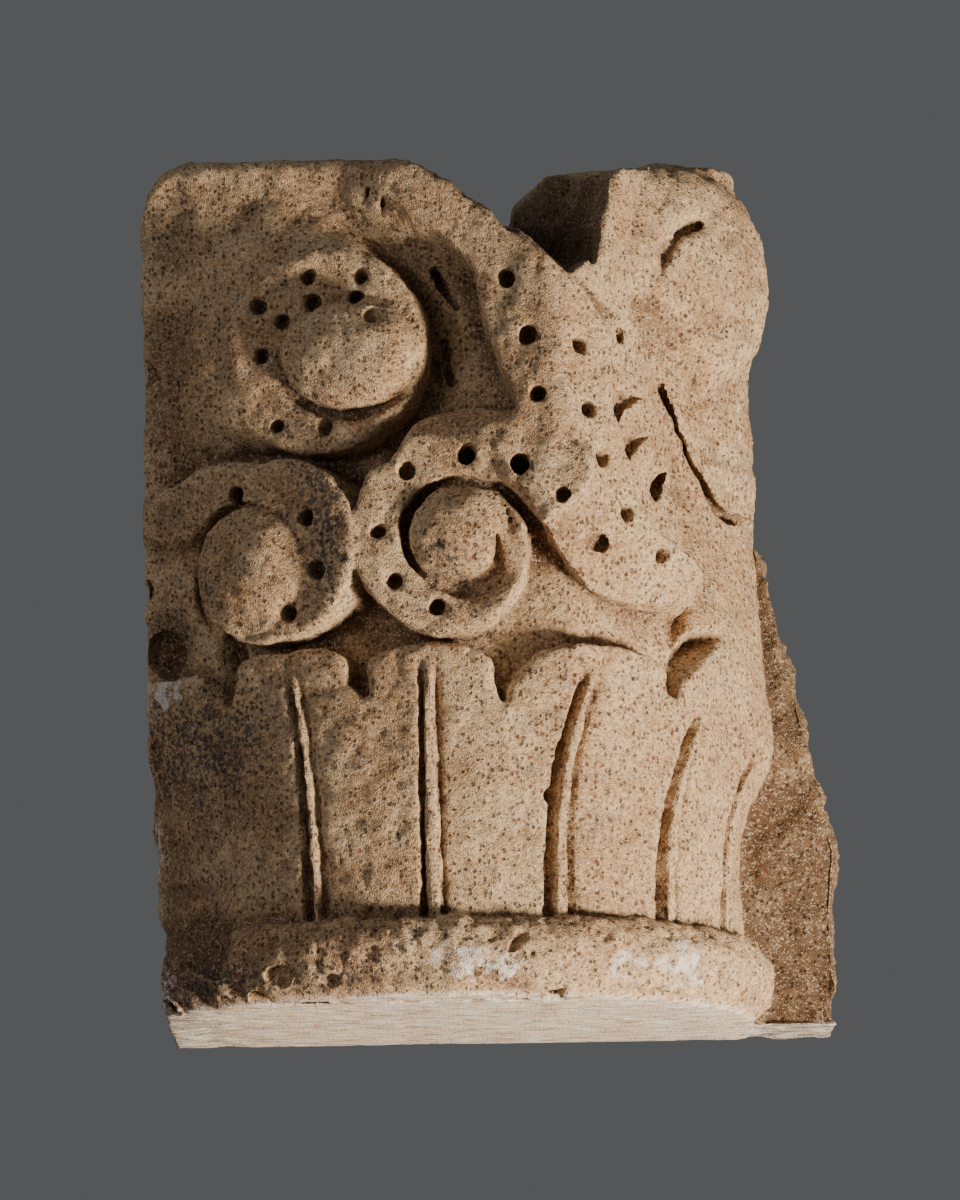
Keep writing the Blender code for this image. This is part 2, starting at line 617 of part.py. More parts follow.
def make_capital():
    stone = new_collection("romanesque_capital")
    cutters = new_collection("cutters")
    losses = make_losses(cutters)
    core = cut(loft("bell", 0.0, HEIGHT + 0.005, 40, lambda height: 0.0, stone), losses)
    leaves = make_leaves(stone, cutters)
    rise = loft("last_leaf", LEAF_TOP - 0.02, LEAF_FADE + 0.01, 10, leaf_relief, stone, first=51, steps=18)
    stalk = cut(make_stalk(stone, cutters), losses)
    tail = cut(make_tail(stone), losses[:2])
    mass = [cut(piece, losses[:5]) for piece in make_right_mass(stone)]
    parts = [core, leaves, rise, stalk, tail, *mass, make_neck_ring(stone), *make_volutes(stone, cutters)]
    capital = joined("capital", parts + make_ribs(stone), stone)
    fuse = capital.modifiers.new("fuse", "REMESH")
    fuse.mode = "VOXEL"
    fuse.voxel_size = VOXEL
    capital = as_mesh(capital, stone)
    soften = capital.modifiers.new("soften", "SMOOTH")
    soften.iterations = 2
    thin = capital.modifiers.new("thin", "DECIMATE")
    thin.ratio = TRIANGLES / sum(len(face.vertices) - 2 for face in capital.data.polygons)
    capital = as_mesh(capital, stone)
    capital = cut(capital, make_trims(cutters) + make_sunk_cuts(cutters) + make_drill_holes(cutters))
    limestone = bpy.data.materials.new("limestone")
    limestone.use_nodes = True
    surface = limestone.node_tree.nodes["Principled BSDF"]
    surface.inputs["Base Color"].default_value = STONE
    surface.inputs["Roughness"].default_value = 0.85
    capital.data.materials.append(limestone)
    return capital


for old in list(bpy.data.objects):
    bpy.data.objects.remove(old, do_unlink=True)
make_capital()
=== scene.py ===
import math

import bpy
import numpy as np
from mathutils import Matrix, Vector


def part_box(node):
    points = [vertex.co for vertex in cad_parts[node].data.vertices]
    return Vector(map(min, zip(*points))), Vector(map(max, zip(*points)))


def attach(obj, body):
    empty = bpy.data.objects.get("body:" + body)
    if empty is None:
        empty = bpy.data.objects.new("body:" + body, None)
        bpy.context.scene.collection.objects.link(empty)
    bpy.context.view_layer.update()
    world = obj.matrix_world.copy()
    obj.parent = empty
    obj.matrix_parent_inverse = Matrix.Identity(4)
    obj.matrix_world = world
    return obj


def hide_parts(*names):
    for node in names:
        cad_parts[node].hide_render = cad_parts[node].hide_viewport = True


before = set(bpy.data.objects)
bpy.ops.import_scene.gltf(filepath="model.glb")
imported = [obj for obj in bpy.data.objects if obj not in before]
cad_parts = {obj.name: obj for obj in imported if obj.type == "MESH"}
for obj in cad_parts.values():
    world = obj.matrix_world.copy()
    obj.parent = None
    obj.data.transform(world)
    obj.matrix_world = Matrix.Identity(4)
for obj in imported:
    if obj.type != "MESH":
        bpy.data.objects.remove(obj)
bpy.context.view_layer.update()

# The stone is carved as a distance field: every point of a fine grid holds how far it is from the surface,
# negative inside. Shapes are joined and cut with soft edges, as weather leaves them, and a net of faces is
# then drawn where the field is zero. Sizes are in millimetres until that net becomes a mesh in metres.
# X runs to the right along the wall, Y into it and Z up, from the axis of the half-column in the bottom bed.

nodeLow, nodeHigh = [np.array(corner) * 1000 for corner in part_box("capital")]

stone = {
    "gridStep": 1.0,   # spacing of the grid in the carved front
    "backStep": 3.0,            # spacing behind it, in the plain block
    "faces": 190000,
    "bellRadius": 109.0,        # ground of the bell above the neck ring
    "squareFrom": 60.0,         # the round bell starts to turn square here
    "squareTo": 225.0,
    "ringRadius": 125.5,
    "ringHeight": 31.0,
    "bedRadius": 113.5,         # where the neck ring meets the bottom bed
    "leafFoot": 5.0,            # how proud the leaves are at their foot and at their tips
    "leafTip": 11.0,
    "wallFront": 14.0,          # front of the rough tail that was built into the wall
    "leftJoint": 110.5,         # left joint, upright down to the leaves
    "leftCut": 104.8,           # and at the bed, with the lean of its lower part
    "leftLean": 2.7,
    "drillRadius": 3.3,
    "drillDepth": 9.0,
    "grainDepth": 0.55,         # relief of the weathered surface
    "chipDepth": 1.9,           # relief of the broken faces
}
frontTurn, frontGround = -16.0, 94.0    # the squared top's faces: which way they look, and how far out
rightTurn, rightGround = 56.0, 106.5
sideGround = 121.5
leftTurn, helixTurn = -31.0, -5.0
upperCentre = (-42.0, -104.5, 243.0)
lowerCentre = (-60.0, -101.0, 168.0)
helixCentre = (8.0, -119.5, 170.0)
arris = (46.0, -134.0, 215.0)           # a point on the edge between the two dressed faces of the angle stalk
stalkFoot = (52.0, -134.0, 188.0)
stalkLeftTurn, stalkRightTurn = -18.0, 40.0
stalkFall = 0.34                        # how fast the stalk sinks back into the bell below its foot


def smoothStep(low, high, value):
    share = np.clip((value - low) / (high - low), 0, 1)
    return share * share * (3 - 2 * share)


def swelling(value, centre, width):
    return np.exp(-(((value - centre) / width) ** 2))


def join(first, second, blend):
    share = np.clip(0.5 + 0.5 * (second - first) / blend, 0, 1)
    return second + (first - second) * share - blend * share * (1 - share)


def meet(first, second, blend):
    return -join(-first, -second, blend)


def between(table, value):
    places, sizes = zip(*table)
    return np.interp(value, places, sizes)


def flowing(table, value, width):
    # the same with its corners rounded over this width
    return sum(between(table, value + width * part) for part in (-0.5, -0.25, 0, 0.25, 0.5)) / 5


def outlineDistance(across, up, outline):
    # distance to a closed outline in a plane, negative inside it
    nearest = np.float32(1e9)
    crossings = np.zeros(np.broadcast(across, up).shape, bool)
    for (x0, y0), (x1, y1) in zip(outline, outline[1:] + outline[:1]):
        edgeX, edgeY = x1 - x0, y1 - y0
        fromX, fromY = across - x0, up - y0
        share = np.clip((fromX * edgeX + fromY * edgeY) / (edgeX**2 + edgeY**2), 0, 1)
        nearest = np.minimum(nearest, (fromX - share * edgeX) ** 2 + (fromY - share * edgeY) ** 2)
        if y0 != y1:
            straddles = (y0 > up) != (y1 > up)
            crossings ^= straddles & (fromX < edgeX * fromY / edgeY)
    return np.where(crossings, -1, 1) * np.sqrt(nearest)


def onFace(centre, turn):
    # turns x, y, z into across, up and out of a face that looks in the direction turn
    cos, sin = math.cos(math.radians(turn)), math.sin(math.radians(turn))

    def place(x, y, z):
        dx, dy = x - centre[0], y - centre[1]
        return dx * cos + dy * sin, z - centre[2], dx * sin - dy * cos
    return place


def beyondPlane(point, normal):
    # positive on the side that the normal points to
    length = math.sqrt(sum(part * part for part in normal))

    def distance(x, y, z):
        steps = (x - point[0]) * normal[0] + (y - point[1]) * normal[1] + (z - point[2]) * normal[2]
        return steps / length
    return distance


def faceNormal(turn, fall=0.0):
    return math.sin(math.radians(turn)), -math.cos(math.radians(turn)), -fall


def makeGrid():
    step = stone["gridStep"]
    low, high = nodeLow - 3 * step, nodeHigh + 3 * step
    y = np.concatenate([np.arange(low[1], 24, step), np.arange(24, high[1] + 3, stone["backStep"])])
    axes = [np.arange(low[0], high[0], step), y, np.arange(low[2], high[2], step)]
    axes = [axis.astype(np.float32) for axis in axes]
    return {"axes": axes, "field": np.empty([len(axis) for axis in axes], np.float32)}


def window(grid, low, high):
    slices = tuple(
        slice(int(np.searchsorted(axis, a)), int(np.searchsorted(axis, b)))
        for axis, a, b in zip(grid["axes"], low, high)
    )
    x, y, z = (axis[cut] for axis, cut in zip(grid["axes"], slices))
    return slices, x[:, None, None], y[None, :, None], z[None, None, :]


def around(centre, reach):
    return [c - reach for c in centre], [c + reach for c in centre]


def add(grid, bounds, shape, blend):
    slices, x, y, z = window(grid, *bounds)
    soft = blend(x, y, z) if callable(blend) else blend
    grid["field"][slices] = join(grid["field"][slices], shape(x, y, z), soft)


def carve(grid, bounds, shape, blend):
    slices, x, y, z = window(grid, *bounds)
    soft = blend(x, y, z) if callable(blend) else blend
    grid["field"][slices] = meet(grid["field"][slices], -shape(x, y, z), soft)


def whole(grid):
    return [axis[0] - 1 for axis in grid["axes"]], [axis[-1] + 1 for axis in grid["axes"]]


# The bell and its leaves are drawn unrolled, as reach from the axis over turn and height.
turnStep = 0.1
ribReach, tipReach = 117, 116       # where a width along the ribs and along the tips is measured
turns = np.arange(-90, 90 + turnStep / 2, turnStep, dtype=np.float32)[:, None]

# Outline of the row of leaves: turn in degrees against height. Each pair of lobed tips leaves a slit.
leafOutline = [
    (-120, 20), (-120, 123), (-66, 125), (-60, 126.5), (-54, 125.6), (-49, 126.6), (-45.6, 124), (-43.6, 120),
    (-42.0, 116.6), (-40.8, 117), (-40.4, 120.5), (-40.2, 125), (-38.6, 128.6), (-34, 130.5), (-22.4, 131.5),
    (-19.2, 129.6),
    (-17.2, 126), (-16.6, 121.5), (-17.0, 117), (-15.0, 113), (-13.9, 111), (-12.9, 112.5), (-13.5, 117),
    (-13.9, 122), (-12.9, 126), (-9.8, 129.6), (-3, 130.8), (4, 130.2), (7.6, 128), (9.9, 124), (10.5, 119.5),
    (10.0, 115.5), (10.9, 110.8), (12.4, 109.2), (13.2, 113.5), (15.6, 121), (18.8, 127), (24, 130.4),
    (33, 130.6), (39, 129.6), (43.6, 127.4), (46.4, 123.6), (47.0, 119.5), (47.3, 116.0), (49.2, 115.2),
    (51, 122), (52, 132), (56, 150), (60, 185), (66, 215), (120, 215), (120, 20),
]
# Each rib: turn of the groove on its left at the foot, groove's and rib's widths there, how far the top leans
# in degrees, and the height where it fades out.
ribs = (
    (-25.6, 2.2, 4.6, -3.6, 121.0),
    (-3.4, 1.7, 6.0, 0.2, 123.0),
    (19.6, 3.4, 6.4, 6.8, 121.0),
    (43.9, 5.0, 7.2, 11.5, 111.0),
    (65.6, 3.4, 8.6, 14.0, 102.0),
)


# The plain band at the top: height against how far it stands out from the ground.
lipProfile = ((262, 0.0), (276, 0.8), (284, 2.4), (290, 5.2), (301, 11.2), (313, 17.2), (330, 19.0))


def squaredReach(turn):
    reach = np.full(turn.shape, 400, np.float32)
    for look, away in ((frontTurn, frontGround), (rightTurn, rightGround), (90, sideGround), (-106, 142)):
        cos = np.cos(np.radians(turn - look))
        reach = join(reach, np.where(cos > 0.2, away / np.maximum(cos, 0.2), 400), 7.0)
    return reach


def bellReach(turn, height):
    share = smoothStep(stone["squareFrom"], stone["squareTo"], height)
    reach = stone["bellRadius"] + share * (squaredReach(turn) - stone["bellRadius"])
    # the band at the top leans forward, and starts lower where it runs into the stalk
    lip = flowing(lipProfile, height + 14 * smoothStep(-24, -4, turn), 8) * smoothStep(34, 14, turn)
    return reach + lip - 4 * smoothStep(304, 326, height) ** 2


def leafReach(turn, height):
    foot, tip = stone["leafFoot"], stone["leafTip"]
    share = np.clip((height - stone["ringHeight"]) / 100, 0, 1)
    relief = foot + (tip - foot) * share**1.6
    relief = relief - 9.0 * smoothStep(118, 190, height) * smoothStep(50, 60, turn)
    # the last leaf curls out over the tail
    curl = 7.0 * swelling(height, 104, 18) - 2.0 * swelling(height, 62, 18)
    relief = relief + smoothStep(66, 90, turn) * curl
    # the first one is worn hollow
    relief = relief - 3.2 * swelling(turn, -52, 13) * swelling(height, 68, 30)
    for footTurn, grooveWidth, ribWidth, lean, top in ribs:
        climb = np.clip((height - stone["ringHeight"]) / (top - stone["ringHeight"]), 0, 1.2)
        across = (turn - footTurn - lean * climb**2.6) * math.pi / 180 * ribReach
        narrowing = 1 - 0.30 * np.clip(climb, 0, 1)
        groove, rib = grooveWidth * (1 - 0.4 * climb), ribWidth * narrowing
        fade = smoothStep(1.06, 0.86, climb)
        deep = 4.4 * smoothStep(-0.9, 0.5, across) * smoothStep(groove + 1.1, groove - 0.5, across)
        ridge = 1.2 * smoothStep(groove, groove + 1.0, across)
        ridge = ridge * smoothStep(groove + rib, groove + rib - 1.0, across)
        side = across - groove - rib
        sinking = 1.1 * smoothStep(-1.0, 0.5, side) * np.exp(-np.maximum(side, 0) / 6)
        narrow = 2.2 * swelling(side, 0.8, 1.1) + sinking
        leftSwell = 0.6 * smoothStep(-9, -1.5, across) * smoothStep(0.4, -1.0, across)
        relief = relief + fade * (ridge + leftSwell - deep - narrow)
    return bellReach(turn, height) + relief


def carveBell(grid):
    x, y, z = (axis.astype(np.float32) for axis in grid["axes"])
    x, y = x[:, None], y[None, :]
    reach = np.where(y < 0, np.hypot(x, y), np.abs(x))
    turn = np.where(y < 0, np.degrees(np.arctan2(x, -y)), np.sign(x) * 90)
    row = np.rint((turn + 90) / turnStep).astype(int)
    grid["field"][...] = reach[:, :, None] - bellReach(turns, z[None, :])[row]
    low, high = np.searchsorted(z, 22), np.searchsorted(z, 217)
    height = z[None, low:high]
    unrolled = [(leafTurn * math.pi / 180 * tipReach, up) for leafTurn, up in leafOutline]
    tips = outlineDistance(turns * math.pi / 180 * tipReach, height, unrolled)
    soft = 4.0 + 6 * smoothStep(50, 60, turns)
    leaves = meet(reach[:, :, None] - leafReach(turns, height)[row], tips[row], soft[row])
    grid["field"][:, :, low:high] = join(grid["field"][:, :, low:high], leaves, 1.2)


def carveNeckRing(grid):
    middle = stone["ringHeight"] / 2
    swell = stone["ringRadius"] - stone["bedRadius"]

    def ring(x, y, z):
        reach = np.where(y < 0, np.hypot(x, y), np.abs(x))
        out, up = (reach - stone["bedRadius"]) / swell, (z - middle) / middle
        roll = (np.hypot(out, up) - 1) * (swell + middle) / 2
        core = np.maximum(reach - stone["bedRadius"], np.abs(z - middle) - middle)
        end = y - stone["wallFront"] - 6
        return meet(np.minimum(roll, core), np.broadcast_to(end, roll.shape), 5.0)

    add(grid, ((-140, -140, -6), (140, 30, 45)), ring, 0.9)


def carveTail(grid):
    # right edge of the rough tail: height against distance from the axis
    edge = ((-5, 150.5), (20, 152.5), (45, 152), (68, 154), (84, 150), (104, 144.5), (130, 140), (143, 135.5),
            (160, 133), (188, 125.5), (200, 120), (330, 118))

    def tail(x, y, z):
        side = (x - between(edge, z)) * 0.96
        front = stone["wallFront"] - y + 0 * x
        return meet(side, front, 4.0)

    add(grid, ((-160, 6, -9), (160, 80, 330)), tail, 1.5)


upperHoles = ((-5, 28), (-3.5, 18.5), (15.7, 26), (13.7, 18.7), (22.9, 10, -1.5), (-15.2, 12), (-24, 18),
              (-23.1, -0.5), (-17.2, -28), (1.5, -29.5))
lowerHoles = ((-16.5, 22.7), (13.9, 10.8), (17.6, -9.2), (5.7, -23.9))
helixHoles = ((-18.5, 24.2), (4.1, 29), (24.2, 23.4), (-29.2, 2.1), (-23.5, -16.9), (-7.8, -26.6))


def dome(place, centre, radii, power=2.0):
    # a higher power gives steeper sides and a flatter top
    def shape(x, y, z):
        across, up, out = place(x, y, z)
        a, b, c = ((value - mid) / size for value, mid, size in zip((across, up, out), centre, radii))
        return ((np.hypot(a, b) ** power + np.abs(c) ** power) ** (1 / power) - 1) * min(radii)
    return shape


def carveUpperVolute(grid):
    place = onFace(upperCentre, frontTurn)

    def disc(x, y, z):
        across, up, out = place(x, y, z)
        away, look = np.hypot(across, up) * 0.965, np.arctan2(up, across)
        roll = 1.5 * swelling(away, 34.0, 4.0) * smoothStep(0.1, 0.7, np.cos(look - math.radians(110)))
        dish = -1.2 * smoothStep(32, 26, away)
        # the rim falls away sharply below and to the right, and slopes back into the ground on the left
        leftward = smoothStep(-0.1, 0.9, np.cos(look - math.radians(150)))
        slope = 3.4 * leftward * smoothStep(28, 42, away)
        flare = 1.8 * leftward
        side = (away - 38.2 - 1.5 * leftward + flare * np.minimum(out, 0)) / np.sqrt(1 + flare**2)
        return meet(out - roll - dish + 1.0 + slope, side, 4.0)

    def skirt(x, y, z):
        across, up, out = place(x, y, z)
        look = np.arctan2(up, across)
        return 1.6 + 14 * smoothStep(0.0, 0.8, np.cos(look - math.radians(155)))

    def crescent(x, y, z):
        across, up, out = place(x, y, z)
        a, b = (across - 11.5) / 1.24, up + 3.0
        away, look = np.hypot(a, b), np.degrees(np.arctan2(b, a)) % 360
        width = flowing(((180, 0.0), (200, 2.4), (240, 4.0), (275, 4.4), (310, 2.4), (335, 0.0)), look, 12)
        depth = between(((190, 3), (225, 6.5), (280, 6.5), (335, 1)), look)
        return np.maximum(np.abs(away - 22.6) - width / 2, -out - depth)

    bounds = around(upperCentre, 70)
    add(grid, bounds, disc, skirt)
    add(grid, bounds, dome(place, (11.2, -3.0, -4.5), (27.2, 21.4, 13.0), 2.5), 1.6)
    carve(grid, bounds, crescent, 1.6)


def carveLowerVolute(grid):
    place = onFace(lowerCentre, leftTurn)
    tongue = [(-70, 9), (-70, 20), (-48, 30), (-30, 36), (-8, 36), (-8, 10), (-30, 14), (-38, 8), (-50, 7)]
    grooveWidth = ((78, 0.0), (100, 2.0), (130, 5.0), (160, 8.0), (200, 10.0), (225, 7.0), (256, 0.0))

    def disc(x, y, z):
        across, up, out = place(x, y, z)
        away = np.hypot(across / 0.985, up)
        return meet(out + 0.02 * across, away - 34.6, 2.6)

    def band(x, y, z):
        # the tongue that runs in from the joint on the left, worn down to a slope
        across, up, out = place(x, y, z)
        face = out + 0.6 + 0.10 * (24 - up) + 0.16 * np.maximum(across + 26, 0)
        return meet(face, outlineDistance(across, up, tongue), 4.0)

    def groove(x, y, z):
        across, up, out = place(x, y, z)
        a, b = across + 11.5, up + 7.0
        away, look = np.hypot(a / 0.96, b), np.degrees(np.arctan2(b, a)) % 360
        width = flowing(grooveWidth, look, 18)
        depth = flowing(((90, 3), (130, 9), (180, 17), (215, 15), (256, 0)), look, 14)
        return np.maximum(np.abs(away - 25.0 - width * 0.3) - width / 2, -out - depth)

    bounds = around(lowerCentre, 66)
    add(grid, bounds, band, 6.0)
    add(grid, bounds, disc, 1.6)
    add(grid, bounds, dome(place, (-12.0, -7.5, -3.5), (22.0, 24.0, 13.0), 2.2), 5.0)
    carve(grid, bounds, groove, 2.0)


def carveHelix(grid):
    place = onFace(helixCentre, helixTurn)
    # Outer edge of the band, in turn and radius. It winds in from the stalk, round the eye and into it.
    outer = ((0, 27.0), (22, 60), (40, 52), (81, 43.6), (103, 41.2), (123, 40.0), (144, 38.6), (166, 38.8),
             (200, 39.6), (229, 38.6), (252, 38.4), (271, 36.6), (296, 33.4), (318, 29.8), (352, 25.6))
    sloped = ((62, 0), (84, 1), (104, 1), (123, 0.70), (144, 0.30), (166, 0.1), (190, 0))

    def band(x, y, z):
        across, up, out = place(x, y, z)
        away, look = np.hypot(across, up), np.degrees(np.arctan2(up, across)) % 360
        edge = flowing(outer, look, 16)
        shoulder = flowing(sloped, look, 14)
        side = away - edge - 5.5 * shoulder
        chamfer = (out + (away - edge + 2.5) * 1.2) * 0.65
        dish = 3.2 * swelling(away, 23, 5) * smoothStep(250, 285, look) * smoothStep(350, 320, look)
        # towards the stalk the band's face climbs to meet it
        climb = 9.0 * smoothStep(106, 62, look) * smoothStep(20, 36, away)
        body = meet(out + dish - climb, side, 2.0)
        return meet(body, chamfer - 7 * (1 - shoulder), 2.0)

    add(grid, around(helixCentre, 66), band, 1.4)


def carveHelixEye(grid):
    place = onFace(helixCentre, helixTurn)
    # groove round the eye, in turn and radius, and its width and depth on the way
    channel = ((60, 20.0), (120, 19.8), (200, 19.6), (258, 19.6), (285, 20.6), (310, 20.4), (335, 17.0),
               (350, 14.5))
    channelWidth = ((56, 0.3), (74, 2.0), (110, 2.6), (150, 4.4), (200, 3.6), (222, 2.4), (250, 3.6),
                    (280, 7.4), (305, 8.4), (330, 4.8), (350, 0.3))
    channelDepth = ((56, 2), (85, 3), (105, 5), (130, 10), (205, 10), (228, 4), (250, 3), (275, 7), (320, 6),
                    (350, 1))
    # inner turn of the band, in turn from straight down and radius
    innerEdge = ((0, 37), (13, 34.7), (26, 32.6), (43, 30.2), (61, 28.1), (79, 26.3), (96, 24.8), (114, 22.9),
                 (135, 21.5), (151, 20.2), (170, 17))

    def polar(x, y, z):
        across, up, out = place(x, y, z)
        return np.hypot(across, up), np.degrees(np.arctan2(up, across)) % 360, out

    def ringEnd(x, y, z):
        # the inner turn of the band, between the eye and the stalk
        away, look, out = polar(x, y, z)
        look = (look + 90) % 360
        inside = smoothStep(176, 140, look) * smoothStep(20, 60, look)
        return meet(out + 1.0 + 14 * (1 - inside), away - flowing(innerEdge, look, 12), 3.0)

    def groove(x, y, z):
        away, look, out = polar(x, y, z)
        width, depth = flowing(channelWidth, look, 14), flowing(channelDepth, look, 14)
        return np.maximum(np.abs(away - flowing(channel, look, 14)) - width / 2, -out - depth)

    def gap(x, y, z):
        # the groove between the inner turn and the stalk, which opens into the ground below
        across, up, out = place(x, y, z)
        wedge = [(9.7, 18.8), (15.8, 18.2), (22, 13.6), (26.6, 8.6), (30.1, 4), (34.2, -4.1), (38.3, -10.3),
                 (43.1, -16.3), (49, -22.6), (56, -32), (40, -42), (14, -34), (20.8, -22), (24.6, -13.5),
                 (25.7, -5), (24.6, 2.4), (20.8, 9.2), (15.4, 14.9), (9.7, 17.4)]
        depth = between(((9, 1.5), (14, 4.0), (22, 7.5), (30, 9), (38, 16)), across)
        return np.maximum(outlineDistance(across, up, wedge), -out - depth)

    bounds = around(helixCentre, 66)
    carve(grid, bounds, gap, 1.6)
    add(grid, bounds, ringEnd, 1.6)
    add(grid, bounds, dome(place, (0.0, 0.0, -5.0), (17.6, 18.2, 12.5), 2.2), 2.2)
    carve(grid, bounds, groove, 1.4)


stalkOutline = [
    (27, 196), (31, 208), (30, 219), (25, 231), (19, 248), (15.5, 268), (4, 283), (-10, 296), (-16, 304),
    (75, 316), (66, 234), (65.5, 220), (67.5, 203), (70.5, 190), (79.5, 174.5), (94, 166), (99.3, 160),
    (95.5, 153.5),
    (89.2, 147.5), (81.7, 146), (70.5, 146.5), (63.7, 147), (57, 149.3), (50.9, 154.2), (46.2, 159.5),
    (42, 165.4), (37.9, 173.6), (34.5, 181.2), (30.5, 187), (27, 190),
]
stalkLeftHoles = ((27.4, 263.7), (34.4, 241.8), (37.5, 219.5), (46.5, 182), (59.0, 166.4))
stalkRightHoles = ((54.6, 238.2), (57.4, 214.5), (61.7, 197.0), (71.8, 178.0), (83.7, 164.8))


def stalkFaces():
    return [
        beyondPlane(arris, faceNormal(stalkLeftTurn)),
        beyondPlane(arris, faceNormal(stalkRightTurn)),
        beyondPlane(stalkFoot, faceNormal(stalkLeftTurn + 14, stalkFall)),
        beyondPlane(stalkFoot, faceNormal(stalkRightTurn, stalkFall)),
    ]


def aboveBreak(x, y, z):
    # above the broken upper edge of the stalk, which runs down to the right in three stretches
    planes = [beyondPlane(point, normal)(x, y, z) for point, normal in (
        ((14, -120, 297), (0.56, -0.12, 0.83)),
        ((40.5, -120, 278.5), (0.74, -0.10, 0.67)),
        ((62, -120, 251.5), (0.85, -0.05, 0.52)),
    )]
    return join(join(-planes[0], -planes[1], 3.0), -planes[2], 3.0)


def carveStalk(grid):
    left, right, footLeft, footRight = stalkFaces()

    def stalk(x, y, z):
        body = meet(left(x, y, z), right(x, y, z), 5.0)
        foot = meet(footLeft(x, y, z), footRight(x, y, z), 9.0)
        whole = meet(meet(body, foot, 4.0), outlineDistance(x, z, stalkOutline), 1.5)
        return meet(whole, -aboveBreak(x, y, z), 2.0)

    def soft(x, y, z):
        # it grows out of the band above and out of the helix beside it
        return 1.6 + 20 * smoothStep(258, 288, z) + 9 * swelling(x, 22, 12) * swelling(z, 208, 14) + 0 * y

    add(grid, ((-30, -140, 128), (112, -40, 322)), stalk, soft)


def carveRightFace(grid):
    # what weather has left of the volute on the right: a swelling with a shallow winding groove
    place = onFace((106.0, -38.0, 281.0), rightTurn)

    def wornVolute(x, y, z):
        across, up, out = place(x, y, z)
        away = np.hypot(across / 1.1, up * (1 + 0.12 * smoothStep(0, -20, up)))
        return meet(out - 9.0 + 0.0048 * away**2, away - 40, 9.0)

    # the groove as it shows from the front
    line = [(100.5, 299.0), (96, 296.6), (91.5, 293.1), (86.7, 285.7), (83.8, 276.9), (80.4, 269.3),
            (73.6, 260.8), (71.5, 251)]
    widths = (2.4, 3.4, 3.8, 3.2, 3.0, 3.8, 2.6)
    out = beyondPlane(flankPoint(88.0, 280.0, 4.0), faceNormal(rightTurn))

    def wornGroove(x, y, z):
        side = lineDistance(x, z, line, widths)
        return meet((side - 1.0) * 0.5 + 0 * y, -out(x, y, z) - 1.2, 2.0)

    add(grid, ((50, -110, 228), (140, 20, 336)), wornVolute, 11.0)
    carve(grid, ((60, -115, 240), (112, -20, 310)), wornGroove, 3.0)


brokenPlane = (60.5, -88, 293), (-0.84, -0.42, 0.34)


def carveLosses(grid):
    # The outline of the notch as it shows from the front and a little below. Its left side runs straight
    # back, its right side climbs as it goes back.
    notch = [(-34, 346), (-9, 315), (-0.3, 310), (7.4, 305), (14.7, 297.6), (21.9, 292.6), (26, 297.6),
             (30.6, 303.6), (31.2, 309), (33.5, 312), (41, 319.3), (44.5, 322.2), (55, 322.6), (68, 324),
             (80, 326.8), (96, 346)]

    def through(x, y, z):
        return outlineDistance(x, z - 0.23 * (y + 40) * smoothStep(20, 31, x), notch)

    brokenFace = beyondPlane(*brokenPlane)
    floor = beyondPlane((64, -88, 284), (-0.60, -0.15, 0.78))

    def lostAngle(x, y, z):
        lumps = 1.2 * np.sin(z / 3.6 + x / 7) + 1.0 * np.sin(y / 4.6 + z / 9)
        lost = meet(lumps - brokenFace(x, y, z), -floor(x, y, z) - 0.4 * lumps, 4.0)
        return meet(lost, aboveBreak(x, y, z), 2.0)

    carve(grid, ((-40, -145, 225), (112, 80, 340)), lostAngle, 3.0)
    carve(grid, ((-50, -145, 270), (100, 80, 340)), through, 2.0)


def scoop(centre, radii, turn=0.0, lean=0.0):
    # an ellipsoid hollow, its length leaning in its face by so many degrees
    place = onFace(centre, turn)
    cos, sin = math.cos(math.radians(lean)), math.sin(math.radians(lean))

    def shape(x, y, z):
        across, up, out = place(x, y, z)
        a, b, c = (across * cos + up * sin) / radii[0], (up * cos - across * sin) / radii[1], out / radii[2]
        return (np.sqrt(a * a + b * b + c * c) - 1) * min(radii)
    return shape


def carveHollows(grid):
    for centre, radii, turn, lean, soft in (
        ((-103, -60, 136), (8.2, 7.4, 10), -45, 8, 2.0),      # broken hollow at the left edge
        ((-80.5, -82, 130), (6.4, 14, 18), -43, 12, 1.5),    # pocket between the first two leaves
        ((-76.5, -83, 121), (2.6, 9, 12), -42.5, 8, 1.2),
        ((-86, -98, 8), (2.4, 2.0, 4), -45, 0, 0.8),         # holes in the broken end of the neck ring
        ((24, -113, 111.5), (2.6, 3.4, 9), 12, 0, 1.0),      # drilled foot of a slit
        ((41.2, -109, 74.6), (3.1, 3.3, 9), 20, 0, 0.8),     # a drill that slipped in a rib's groove
        ((-60, -108, 9), (4.6, 3.8, 3.6), -28, 0, 1.5),      # pit in the neck ring
        ((-41, -116, 6), (2.6, 2.2, 2.4), -20, 0, 1.2),
        ((-98, -62, 4), (2.2, 2.6, 5), -60, 0, 1.0),
        ((58, -97, 277), (3.0, 4.0, 5), 20, -20, 1.5),       # pit at the foot of the broken face
        ((28, -121, 20), (5.5, 1.6, 1.8), 14, 48, 1.2),
        ((47, -116, 22), (2.4, 1.6, 1.8), 22, 20, 1.2),
        ((-15, -103, 203), (6, 10, 16), -16, -30, 4.0),      # the black pocket between the three volutes
        ((-24, -106, 138), (9, 8, 8), -12, 10, 5.0),         # and the one below it
    ):
        carve(grid, around(centre, max(radii) + 14), scoop(centre, radii, turn, lean), soft)


def drillHole(grid, centre, turn, radius, depth):
    place = onFace(centre, turn)

    def shape(x, y, z):
        across, up, out = place(x, y, z)
        taper = radius * (1 + 0.03 * np.clip(out, -12, 3))
        return meet(np.hypot(across, up) - taper, -out - depth, 2.5)

    carve(grid, around(centre, depth + 9), shape, 0.9)


